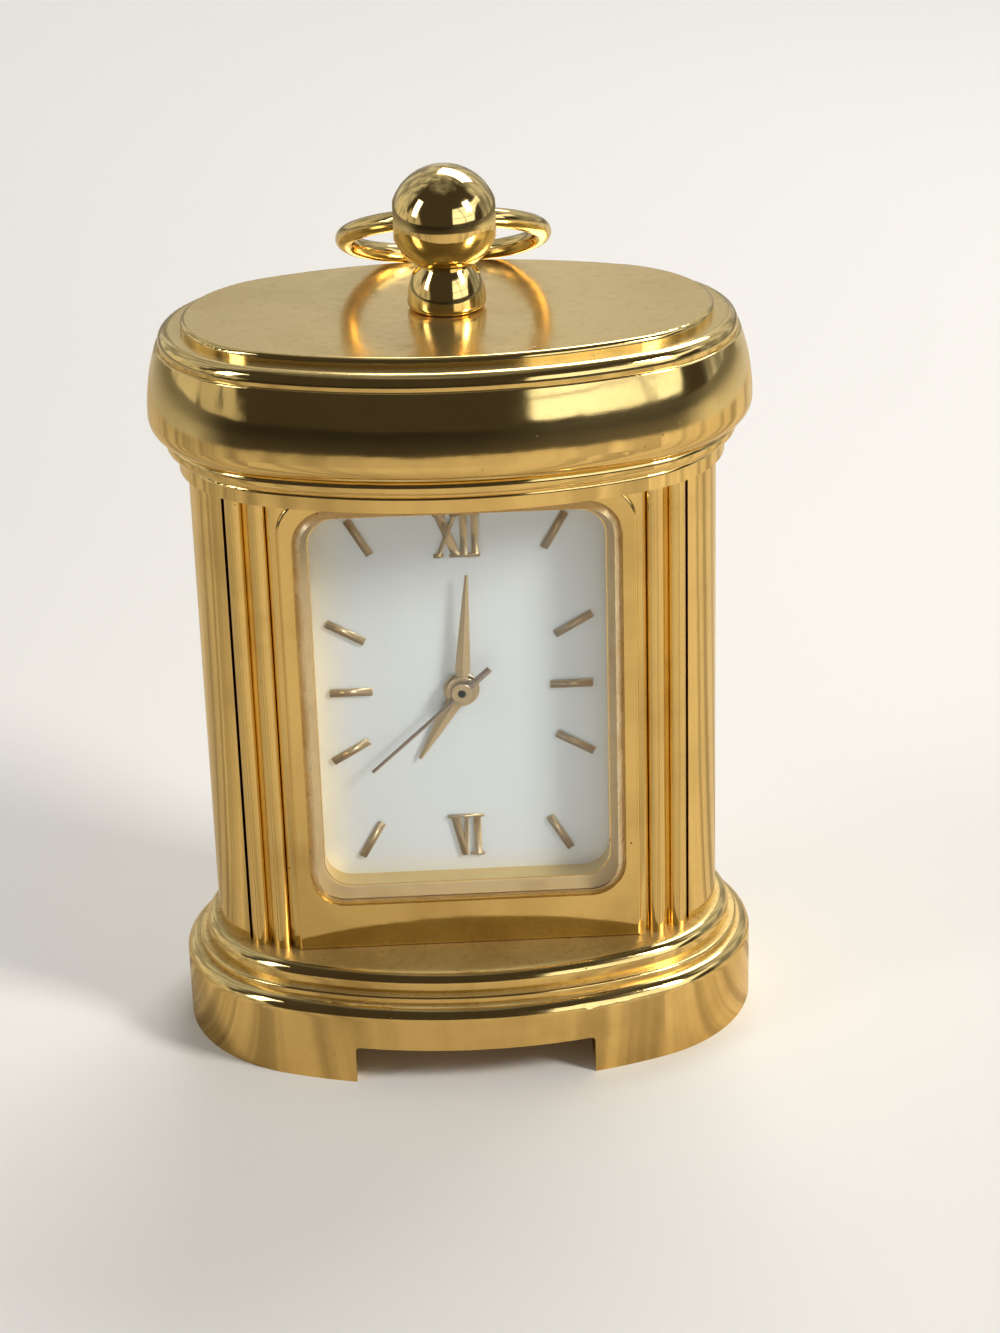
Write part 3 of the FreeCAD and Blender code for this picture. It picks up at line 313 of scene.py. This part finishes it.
def rgba(value):
    """Colour with full alpha, or a link as it is."""
    return value if isinstance(value, Wire) else (*value, 1.0)


def gold_plate(name, gold, worn, polish=0.07, satin_top=0.0, wear=0.35, dust=0.0):
    """Polished plate with cloudy wear, hairlines and small pits.

    Faces that look up can be satin, tarnished and dusty.
    """
    finish = Finish(name)
    place = finish.place()
    cloud = finish.noise(place, 0.16, 4.0, 0.55)
    fleck = finish.noise(place, 1.6, 5.0, 0.65)
    hair = finish.noise(finish.place((0.5, 0.5, 9.0)), 1.4, 2.0)
    pit = 1 - finish.step(finish.cells(place, 0.9), 0.05, 0.12)
    pit = pit * finish.step(finish.noise(place, 0.35, 2.0), 0.58, 0.66)
    upward = finish.step(finish.facing(2), 0.93, 0.99)
    worn_share = finish.step(cloud, 0.42, 0.78) * wear
    speckle = finish.step(fleck, 0.5, 0.72) * (0.10 + upward * satin_top * 0.5)
    base = finish.blend(worn_share + speckle + upward * dust * 2.5, gold, worn)
    base = finish.blend(pit * 0.7, base, tuple(0.25 * part for part in worn))
    roughness = polish + finish.step(cloud, 0.3, 0.8) * 0.06 + upward * satin_top * (0.14 + fleck * 0.22)
    roughness = roughness + pit * 0.3
    height = hair * 0.25 + fleck * (0.3 + upward * satin_top * 4.0) - pit * 1.5
    wave = finish.bump(finish.noise(place, 0.3, 2.0), 0.05 * MM, 0.5)
    normal = finish.bump(height, 0.006 * MM, 0.35, wave)
    metallic = 1 - upward * dust * (0.6 + fleck * 0.8)
    return finish.done(base_color=base, metallic=metallic, roughness=roughness, normal=normal)


def brushed_metal(name, tone, dark, along=(12.0, 0.6, 0.6), rough=0.26):
    """Metal with fine brush marks along one axis and a light cloudy stain."""
    finish = Finish(name)
    marks = finish.noise(finish.place(along), 1.3, 3.0, 0.6)
    cloud = finish.noise(finish.place(), 0.35, 3.0)
    base = finish.blend(finish.step(cloud, 0.4, 0.75) * 0.28 + marks * 0.15, tone, dark)
    roughness = rough + marks * 0.16 + finish.step(cloud, 0.45, 0.8) * 0.08
    normal = finish.bump(marks, 0.01 * MM, 0.4)
    return finish.done(base_color=base, metallic=1.0, roughness=roughness, normal=normal)


def turned_metal(name, tone, dark, centre, rough=0.22):
    """Metal with fine rings around the centre of the movement, as from a lathe."""
    finish = Finish(name)
    place = finish.place()
    across = finish.axis(place, 0) - centre[0] / MM
    upward = finish.axis(place, 2) - centre[2] / MM
    radius = (across * across + upward * upward) ** 0.5
    rings = (radius * 40.0).math("SINE") * 0.5 + 0.5
    cloud = finish.noise(place, 0.5, 3.0)
    base = finish.blend(finish.step(cloud, 0.4, 0.75) * 0.5 + rings * 0.1, tone, dark)
    normal = finish.bump(rings, 0.004 * MM, 0.4)
    return finish.done(base_color=base, metallic=1.0, roughness=rough + cloud * 0.14, normal=normal)


def plain_solid(name, tone, dark, rough, grain_scale=4.0, grain_depth=0.01 * MM, coat=0.0):
    """Moulded, painted or cast surface with a fine grain and slight cloudiness."""
    finish = Finish(name)
    place = finish.place()
    grain = finish.noise(place, grain_scale, 4.0, 0.6)
    cloud = finish.noise(place, 0.4, 3.0)
    base = finish.blend(finish.step(cloud, 0.35, 0.8) * 0.6, tone, dark)
    normal = finish.bump(grain, grain_depth, 0.5)
    return finish.done(
        base_color=base, metallic=0.0, roughness=rough + grain * 0.12, coat_weight=coat, normal=normal
    )


def dial_lacquer(colours):
    """Satin white lacquer with painted warm light from the lit liner at its left edge and foot, a very fine
    grain and small stains.
    """
    finish = Finish("dial_lacquer")
    place = finish.place()
    across = finish.axis(place, 0)
    upward = finish.axis(place, 2)
    cloud = finish.noise(place, 0.22, 3.0)
    grain = finish.noise(place, 18.0, 3.0)
    left, bottom = DIAL[0][0] / MM, DIAL[0][2] / MM
    # Painted warm light from the lit liner, fading in from the dial's left edge and from its foot
    edge_glow = 1 - finish.step(across + cloud * 1.5, left + LINER_GLOW_EDGE[0], left + LINER_GLOW_EDGE[1])
    foot = 1 - finish.step(upward + cloud, bottom + LINER_GLOW_FOOT[0], bottom + LINER_GLOW_FOOT[1])
    stain = finish.step(finish.noise(place, 1.1, 4.0), 0.66, 0.78) * 0.12
    base = finish.blend((edge_glow * 0.75 + foot * 0.35).math("MINIMUM", 1.0), colours.dial, colours.dial_liner_glow)
    base = finish.blend(stain, base, DIAL_STAIN)
    normal = finish.bump(grain, 0.004 * MM, 0.3)
    return finish.done(
        base_color=base, metallic=0.0, roughness=0.34 + grain * 0.12, coat_weight=0.25,
        coat_roughness=0.25, normal=normal,
    )


def gilt(name, tone, dark):
    """Gilt of the markers and hands, with painted shade on the facets that face left."""
    finish = Finish(name)
    place = finish.place()
    grain = finish.noise(place, 3.0, 4.0, 0.6)
    # Painted shade: facets that face left blend towards the dark copy of the gilt
    lit_facet_share = finish.step(finish.facing(0), -0.7, 0.7)
    base = finish.blend(lit_facet_share * 0.7 + grain * 0.3, dark, tone)
    normal = finish.bump(grain, 0.005 * MM, 0.4)
    roughness = 0.24 + finish.noise(place, 1.2, 2.0) * 0.16
    return finish.done(base_color=base, metallic=0.6, roughness=roughness, normal=normal)


def clear_pane(name):
    """Clear acrylic with faint smears and specks of dust that catch the light."""
    finish = Finish(name)
    place = finish.place()
    smear = finish.step(finish.noise(finish.place((0.5, 1.0, 0.9)), 0.22, 4.0), 0.5, 0.78)
    dust = finish.step(finish.noise(place, 5.0, 2.0), 0.72, 0.8)
    alpha = 0.035 + smear * 0.03 + dust * 0.05
    base = finish.blend(dust, PANE_CLEAR, PANE_DUST)
    return finish.done(
        base_color=base, metallic=0.0, roughness=0.03 + smear * 0.10, alpha=alpha, ior=1.49,
        specular_ior_level=0.6,
    )


def pane_rim(name, tone):
    """Bevel of the pane, with a painted reflection of the gold around it as a pale band, with painted light
    patches and dark streaks.
    """
    finish = Finish(name)
    place = finish.place()
    cloud = finish.noise(place, 0.5, 3.0)
    streak = finish.noise(finish.place((2.0, 1.0, 2.0)), 1.2, 3.0)
    # Painted reflection: patches of light and streaks of dark in the gold that the bevel picks up
    base = finish.blend(finish.step(cloud, 0.35, 0.7), tone, RIM_PAINTED_LIGHT)
    base = finish.blend(finish.step(streak, 0.58, 0.7) * 0.4, base, RIM_PAINTED_DARK)
    return finish.done(base_color=base, metallic=0.6, roughness=0.16 + cloud * 0.1, alpha=0.75)


def paint(node, material):
    """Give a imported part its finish."""
    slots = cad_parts[node].material_slots
    for slot in slots:
        slot.link = "OBJECT"
        slot.material = material


def piece(name, mesh, body, materials, nodes):
    """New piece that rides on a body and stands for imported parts."""
    made = bpy.data.objects.new(name, mesh)
    bpy.context.scene.collection.objects.link(made)
    for material in materials:
        made.data.materials.append(material)
    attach(made, body)
    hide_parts(*nodes)
    return made


def copied_mesh(node, name):
    """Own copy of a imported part's mesh with its split corners joined again."""
    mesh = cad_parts[node].data.copy()
    mesh.name = name
    mesh.materials.clear()
    shell = bmesh.new()
    shell.from_mesh(mesh)
    bmesh.ops.remove_doubles(shell, verts=shell.verts, dist=CORNER_GAP)
    flat = math.radians(1)
    bmesh.ops.dissolve_limit(shell, angle_limit=flat, verts=shell.verts, edges=shell.edges)
    shell.to_mesh(mesh)
    shell.free()
    if mesh.has_custom_normals:
        mesh.attributes.remove(mesh.attributes["custom_normal"])
    return mesh


def bevelled(made, width, segments=1, angle=30):
    """Round the sharp edges of a piece and leave no modifier behind."""
    rounding = made.modifiers.new("Rounded edges", "BEVEL")
    rounding.width = width
    rounding.segments = segments
    rounding.limit_method = "ANGLE"
    rounding.angle_limit = math.radians(angle)
    rounding.harden_normals = True
    graph = bpy.context.evaluated_depsgraph_get()
    finished = bpy.data.meshes.new_from_object(made.evaluated_get(graph))
    made.modifiers.clear()
    made.data = finished
    for face in made.data.polygons:
        face.use_smooth = True


def disc(shell, radius, y_front, y_back, segments=48, edge=0.03 * MM):
    """Turned disc with a chamfered front edge, centred on the hub's axis."""
    rings = []
    for size, y in ((radius - edge, y_front), (radius, y_front + edge), (radius, y_back)):
        ring = []
        for index in range(segments):
            turn = 2 * math.pi * index / segments
            ring.append(shell.verts.new((size * math.cos(turn), y, size * math.sin(turn))))
        rings.append(ring)
    for first, second in zip(rings, rings[1:]):
        for index in range(segments):
            after = (index + 1) % segments
            shell.faces.new((first[index], first[after], second[after], second[index]))
    shell.faces.new(rings[0])
    shell.faces.new(reversed(rings[-1]))


def ridged_blade(shell, stations, y_front, y_back, edge_y):
    """Blade along +Z with a ridge down its middle; stations are pairs of height and half width."""
    sections = []
    for height, half in stations:
        sections.append((
            shell.verts.new((-half, edge_y, height)),
            shell.verts.new((0, y_front, height)),
            shell.verts.new((half, edge_y, height)),
            shell.verts.new((half, y_back, height)),
            shell.verts.new((-half, y_back, height)),
        ))
    for lower, upper in zip(sections, sections[1:]):
        for index in range(5):
            after = (index + 1) % 5
            shell.faces.new((lower[index], lower[after], upper[after], upper[index]))
    shell.faces.new(reversed(sections[0]))
    shell.faces.new(sections[-1])


def hand_mesh(name, shell, degrees):
    """Mesh of a hand, turned clockwise from twelve about the hub."""
    bmesh.ops.recalc_face_normals(shell, faces=shell.faces)
    mesh = bpy.data.meshes.new(name)
    shell.to_mesh(mesh)
    shell.free()
    place = Matrix.Translation((0, 0, HUB.z)) @ Matrix.Rotation(math.radians(degrees), 4, "Y")
    mesh.transform(place)
    return mesh


class CLOCK_OT_plinth(bpy.types.Operator):
    """Finish the stepped oval plinth"""

    bl_idname = "clock.plinth"
    bl_label = "Plinth"

    def execute(self, context):
        colours = context.scene.clock.colours
        paint("plinth", gold_plate(
            "plinth_gold", colours.gold, colours.worn_gold, polish=0.08, satin_top=1.3, wear=0.55, dust=0.22
        ))
        return {"FINISHED"}


class CLOCK_OT_column(bpy.types.Operator):
    """Finish the column with its panel and reeds"""

    bl_idname = "clock.column"
    bl_label = "Column"

    def execute(self, context):
        colours = context.scene.clock.colours
        paint("column", gold_plate("column_gold", colours.gold, colours.worn_gold, polish=0.07, wear=0.40))
        return {"FINISHED"}


class CLOCK_OT_cap(bpy.types.Operator):
    """Finish the stepped oval cap with its satin top plate"""

    bl_idname = "clock.cap"
    bl_label = "Cap"

    def execute(self, context):
        colours = context.scene.clock.colours
        paint("cap", gold_plate(
            "cap_gold", colours.gold, colours.worn_gold, polish=0.06, satin_top=0.4, wear=0.30, dust=0.1
        ))
        return {"FINISHED"}


class CLOCK_OT_finial(bpy.types.Operator):
    """Finish the ball, its stem and the carrying ring"""

    bl_idname = "clock.finial"
    bl_label = "Ball and ring"

    def execute(self, context):
        colours = context.scene.clock.colours
        ball_gold = gold_plate("ball_gold", colours.gold, colours.worn_gold, polish=0.05, wear=0.25)
        paint("finial", ball_gold)
        ring_gold = gold_plate("ring_gold", colours.gold, colours.worn_gold, polish=0.08, wear=0.45)
        paint("carry_ring", ring_gold)
        return {"FINISHED"}


class CLOCK_OT_crystal(bpy.types.Operator):
    """Clear pane with its bevelled rim, and the seal behind it"""

    bl_idname = "clock.crystal"
    bl_label = "Crystal"

    def execute(self, context):
        colours = context.scene.clock.colours
        mesh = copied_mesh("crystal", "crystal_pane")
        pane = piece(
            "crystal_pane", mesh, "case",
            [clear_pane("clear_pane"), pane_rim("pane_rim", colours.crystal_rim_reflection)], ["crystal"],
        )
        for face in pane.data.polygons:
            slanted = BEVEL_SLANT[0] < face.normal.y < BEVEL_SLANT[1]
            face.material_index = 1 if slanted else 0
            face.use_smooth = False
        paint("crystal_gasket", plain_solid("clear_seal", *SEAL_TONES, 0.3))
        return {"FINISHED"}


class CLOCK_OT_dial(bpy.types.Operator):
    """Dial, its polished liner and the applied markers"""

    bl_idname = "clock.dial"
    bl_label = "Dial"

    def execute(self, context):
        colours = context.scene.clock.colours
        paint("dial", dial_lacquer(colours))
        liner_gold = gold_plate("liner_gold", colours.pale_gold, colours.worn_gold, polish=0.13, wear=0.25)
        paint("window_liner", liner_gold)
        # Dark copy of the marker gilt, used as painted shade on its left-facing facets
        dark = tuple(0.55 * part for part in colours.marker_gold)
        material = gilt("marker_gilt", colours.marker_gold, dark)
        for node in ("hour_batons", "numeral_twelve", "numeral_six"):
            name = node + "_cut"
            made = piece(name, copied_mesh(node, name), "case", [material], [node])
            bevelled(made, MARKER_BEVEL)
        return {"FINISHED"}


class CLOCK_OT_hands(bpy.types.Operator):
    """Hour, minute and seconds hand, each with its hub"""

    bl_idname = "clock.hands"
    bl_label = "Hands"

    def execute(self, context):
        settings = context.scene.clock
        sizes = settings.hands
        # Dark copy of the hand gilt, used as painted shade on its left-facing facets
        dark = tuple(0.45 * part for part in settings.colours.marker_gold)
        material = gilt("hand_gilt", settings.colours.marker_gold, dark)
        blades = (
            ("hour", sizes.minutes / 2, sizes.hour_length, sizes.hour_width, sizes.hour_hub),
            ("minute", sizes.minutes * 6, sizes.minute_length, sizes.minute_width, sizes.minute_hub),
        )
        for name, degrees, reach, width, hub in blades:
            low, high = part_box(name + "_hand")
            shell = bmesh.new()
            half = width / 2
            stations = [(reach * height, half * breadth) for height, breadth in BLADE_SHARES]
            edge_y = high[1] - (high[1] - low[1]) * BLADE_EDGE_SHARE
            ridged_blade(shell, stations, low[1], high[1], edge_y)
            disc(shell, hub, low[1], high[1])
            mesh = hand_mesh(name + "_blade", shell, degrees)
            piece(name + "_blade", mesh, name, [material], [name + "_hand"])
        low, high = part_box("seconds_hand")
        shell = bmesh.new()
        half = sizes.second_width / 2
        needle = ((0, half), (sizes.second_length, half * NEEDLE_TIP_SHARE))
        tail = ((-sizes.second_tail, sizes.tail_width / 2), (0, sizes.tail_width / 2))
        edge_y = high[1] - (high[1] - low[1]) * NEEDLE_EDGE_SHARE
        ridged_blade(shell, needle, low[1], high[1], edge_y)
        ridged_blade(shell, tail, low[1], high[1], edge_y)
        disc(shell, sizes.second_hub, low[1], high[1])
        mesh = hand_mesh("seconds_needle", shell, sizes.minutes * 360)
        tone = settings.colours.needle
        # The needle's dark copy is painted shade on its left-facing facets
        needle_gilt = gilt("needle_gilt", tone, tuple(0.6 * part for part in tone))
        finishes = [needle_gilt, material]
        made = piece("seconds_needle", mesh, "seconds", finishes, ["seconds_hand"])
        for face in made.data.polygons:
            reach = Vector((face.center.x - HUB.x, face.center.z - HUB.z)).length
            face.material_index = 1 if reach < sizes.second_hub and len(face.vertices) > 5 else 0
        return {"FINISHED"}


class CLOCK_OT_back(bpy.types.Operator):
    """Back cover and the fluted setting knob"""

    bl_idname = "clock.back"
    bl_label = "Back cover and knob"

    def execute(self, context):
        colours = context.scene.clock.colours
        cover_gold = brushed_metal("cover_gold", colours.gold, colours.worn_gold, (0.5, 0.5, 12.0), 0.2)
        paint("back_cover", cover_gold)
        knob_gold = gold_plate("knob_gold", colours.gold, colours.worn_gold, polish=0.12, wear=0.5)
        paint("setting_knob", knob_gold)
        return {"FINISHED"}


class CLOCK_OT_movement(bpy.types.Operator):
    """Finish the plates, wheels and small parts inside the column"""

    bl_idname = "clock.movement"
    bl_label = "Movement"

    def execute(self, context):
        colours = context.scene.clock.colours
        dark_brass = tuple(0.6 * part for part in colours.brass)
        dark_steel = tuple(0.6 * part for part in colours.steel)
        plate = brushed_metal("plate_brass", colours.brass, dark_brass)
        for node in ("main_plate", "middle_plate", "back_plate"):
            paint(node, plate)
        wheel = turned_metal("wheel_brass", colours.brass, dark_brass, HUB)
        for name in ("hour", "minute", "motion", "third", "seconds", "fourth"):
            paint(name + "_wheel", wheel)
        steel = brushed_metal("brushed_steel", colours.steel, dark_steel, (0.6, 0.6, 12.0), 0.24)
        for node in ("tie_screws", "finial_washer", "finial_nut", "coil_core", "stator", "cell_strap",
                     "quartz_can", "bridge_screws", "movement_screws"):
            paint(node, steel)
        paint("button_cell", turned_metal("cell_steel", *CELL_TONES, HUB, 0.18))
        paint("rotor", plain_solid("rotor_magnet", *MAGNET_TONES, 0.5))
        paint("coil", brushed_metal("copper_winding", *COPPER_TONES, (22.0, 0.3, 0.3), 0.3))
        paint("circuit_board", plain_solid("green_board", *BOARD_TONES, 0.4, coat=0.3))
        paint("chip", plain_solid("chip_resin", *RESIN_TONES, 0.45))
        return {"FINISHED"}


def area_lamp(name, place, target, size, watts, tone):
    """Rectangular lamp that looks at a point."""
    lamp = bpy.data.lights.new(name, "AREA")
    lamp.shape = "RECTANGLE"
    lamp.size, lamp.size_y = size
    lamp.energy = watts
    lamp.color = tone
    made = bpy.data.objects.new(name, lamp)
    made.location = place
    aim = Vector(target) - Vector(place)
    made.rotation_euler = aim.to_track_quat("-Z", "Y").to_euler()
    bpy.context.scene.collection.objects.link(made)


def flat_sheet(name, corners, material):
    """Flat four-cornered sheet that belongs to the stage."""
    mesh = bpy.data.meshes.new(name)
    mesh.from_pydata(corners, [], [(0, 1, 2, 3)])
    mesh.materials.append(material)
    made = bpy.data.objects.new(name, mesh)
    bpy.context.scene.collection.objects.link(made)


def floor_matt(colours):
    """Plain matt floor, pale to the eye, and greyer below the right lamp so that it never turns white.

    In the metal it is warm and streaked near the clock, and far off dark in front and pale behind.
    """
    finish = Finish("floor_matt")
    grain = finish.noise(finish.place((1.0, 0.25, 1.0)), 0.02, 3.0)
    shown = finish.blend(grain * 0.3, colours.floor, tuple(0.9 * part for part in colours.floor))
    point = finish.node("ShaderNodeTexCoord", out="Object")
    across, depth = finish.axis(point, 0), finish.axis(point, 1)
    aside = across - BRIGHT_SPOT_SHARE * RIGHT_LAMP[0]
    before = depth - BRIGHT_SPOT_SHARE * RIGHT_LAMP[1]
    below_lamp = 1 - finish.step((aside * aside + before * before) ** 0.5, *GREY_BAND)
    shown = finish.blend(below_lamp * 0.6, shown, tuple(0.3 * part for part in colours.floor))
    reach = (across * across + depth * depth) ** 0.5
    turn = finish.node("ShaderNodeCombineXYZ", None, {0: across / reach, 1: depth / reach})
    streak = finish.step(finish.noise(turn, 4.5, 4.0, 0.6), 0.42, 0.60)
    beside = finish.step((across / reach).math("ABSOLUTE"), 0.25, 0.75)
    near = finish.blend(streak * (0.10 + beside * 0.5), colours.floor_glow, colours.floor_shade)
    far = finish.blend(finish.step(depth / reach, -0.55, 0.05), colours.room_dark, FAR_FLOOR)
    metal = finish.blend(finish.step(reach, *FAR_BAND), near, far)
    seen = finish.node("ShaderNodeLightPath", out="Is Glossy Ray")
    base = finish.blend(seen, shown, metal)
    camera = finish.node("ShaderNodeLightPath", out="Is Camera Ray")
    pale = tuple(0.52 * part for part in colours.floor)
    lift_share = camera * finish.step(reach, *LIFT_BAND) * (1 - below_lamp)
    lift = finish.blend(lift_share, NO_LIGHT, pale)
    return finish.done(
        base_color=base, metallic=0.0, roughness=0.7, specular_ior_level=0.2,
        emission_color=lift, emission_strength=1.0,
    )


class Room(Finish):
    """World around the clock, built from the same nodes as a finish."""

    def __init__(self, name):
        self.world = bpy.data.worlds.new(name)
        self.world.use_nodes = True
        self.tree = self.world.node_tree
        self.tree.nodes.clear()

    def light(self, tone, strength):
        return self.node("ShaderNodeBackground", None, {"Color": rgba(tone), "Strength": strength})


def pale_world(tone, dark, light):
    """Pale background and even light; the metal sees a dark room with a window and a curtain behind."""
    room = Room("Pale room")
    toward = room.node("ShaderNodeTexCoord", out="Generated")
    across, depth, upward = (room.axis(toward, index) for index in range(3))
    squeezed = room.node("ShaderNodeMapping", None, {"Vector": toward, "Scale": (3, 3, 1.2)})
    folds = room.noise(squeezed, 1.6, 4.0)
    curtain = room.blend(room.step(folds, 0.35, 0.65), *CURTAIN_TONES)
    behind = room.step(depth + across.math("ABSOLUTE") * 0.3 + (folds - 0.5) * 0.4, 0.12, 0.5)
    overhead = room.step(upward + (folds - 0.5) * 0.1, 0.90, 0.99)
    shade = room.blend(behind.math("MAXIMUM", overhead * 0.35), dark, curtain)
    beside = room.step(across, 0.28, 0.33) * (1 - room.step(across, 0.90, 0.93))
    beside = beside * (1 - room.step(depth, 0.1, 0.2))
    level = room.step(upward, 0.02, 0.05) * (1 - room.step(upward, 0.50, 0.56))
    bars = room.step((upward * 14.0).math("SINE").math("ABSOLUTE"), 0.05, 0.16)
    posts = room.step((depth * 9.0).math("SINE").math("ABSOLUTE"), 0.04, 0.12)
    shade = room.blend(beside * level * (0.25 + bars * posts * 0.75), shade, WINDOW_LIGHT)
    wall = (1 - room.step(across, -0.86, -0.70)) * (1 - room.step(upward, 0.25, 0.45))
    shade = room.blend(wall * room.step(folds, 0.4, 0.55) * 0.7, shade, WARM_WALL)
    gloss = room.node("ShaderNodeLightPath", out="Is Glossy Ray")
    camera = room.node("ShaderNodeLightPath", out="Is Camera Ray")
    clear = room.node("ShaderNodeLightPath", out="Is Transmission Ray")
    sockets = {0: gloss, 1: room.light(tone, light), 2: room.light(shade, 1.0)}
    even = room.node("ShaderNodeMixShader", None, sockets)
    sockets = {0: camera.math("MAXIMUM", clear), 1: even, 2: room.light(tone, 1.0)}
    mix = room.node("ShaderNodeMixShader", None, sockets)
    room.node("ShaderNodeOutputWorld", None, {0: mix})
    bpy.context.scene.world = room.world


class CLOCK_OT_stage(bpy.types.Operator):
    """Floor, lamps, background and camera"""

    bl_idname = "clock.stage"
    bl_label = "Stage"

    def execute(self, context):
        settings = context.scene.clock
        sizes = settings.stage
        colours = settings.colours
        half = sizes.floor_size / 2
        corners = [(-half, -half, 0), (half, -half, 0), (half, half, 0), (-half, half, 0)]
        flat_sheet("floor", corners, floor_matt(colours))
        lamps = (
            ("right_lamp", RIGHT_LAMP, (0.08, 0.12), sizes.key_power, (1.0, 0.98, 0.95)),
            ("left_lamp", LEFT_LAMP, (0.08, 0.20), sizes.fill_power, (0.95, 0.97, 1.0)),
            ("back_lamp", BACK_LAMP, (0.26, 0.16), sizes.top_power, (1.0, 1.0, 1.0)),
        )
        for name, place, size, watts, tone in lamps:
            area_lamp(name, place, LAMP_TARGET, size, watts, tone)
        pale_world(colours.backdrop, colours.room_dark, sizes.room_light)
        context.scene.view_settings.view_transform = "Standard"
        camera = bpy.data.cameras.new("Camera")
        camera.lens = CAMERA_LENS
        camera.sensor_width = CAMERA_SENSOR
        camera.clip_start = CAMERA_NEAREST
        made = bpy.data.objects.new("Camera", camera)
        right, up, forward = Vector(CAMERA_RIGHT), Vector(CAMERA_UP), Vector(CAMERA_FORWARD)
        turn = Matrix((right, up, -forward)).transposed().to_4x4()
        made.matrix_world = Matrix.Translation(CAMERA_PLACE) @ turn
        context.scene.collection.objects.link(made)
        context.scene.camera = made
        return {"FINISHED"}


STEPS = (
    CLOCK_OT_stage,
    CLOCK_OT_plinth,
    CLOCK_OT_column,
    CLOCK_OT_cap,
    CLOCK_OT_finial,
    CLOCK_OT_crystal,
    CLOCK_OT_dial,
    CLOCK_OT_hands,
    CLOCK_OT_back,
    CLOCK_OT_movement,
)


class CLOCK_PT_panel(bpy.types.Panel):
    """Sizes and colours of the clock, and a button for each of its pieces"""

    bl_idname = "CLOCK_PT_panel"
    bl_label = "Column clock"
    bl_space_type = "VIEW_3D"
    bl_region_type = "UI"
    bl_category = "Clock"

    def draw(self, context):
        for step in STEPS:
            self.layout.operator(step.bl_idname)
        for group in (context.scene.clock.colours, context.scene.clock.hands, context.scene.clock.stage):
            box = self.layout.box()
            for name in group.bl_rna.properties.keys():
                if name not in ("rna_type", "name"):
                    box.prop(group, name)


CLASSES = (ClockColours, HandSizes, StageSizes, ClockSettings) + STEPS + (CLOCK_PT_panel,)


def register():
    for item in CLASSES:
        bpy.utils.register_class(item)
    bpy.types.Scene.clock = PointerProperty(type=ClockSettings)


def unregister():
    del bpy.types.Scene.clock
    for item in reversed(CLASSES):
        bpy.utils.unregister_class(item)


def main():
    register()
    for step in STEPS:
        getattr(bpy.ops.clock, step.bl_idname.split(".")[1])()


if __name__ == "__main__":
    main()
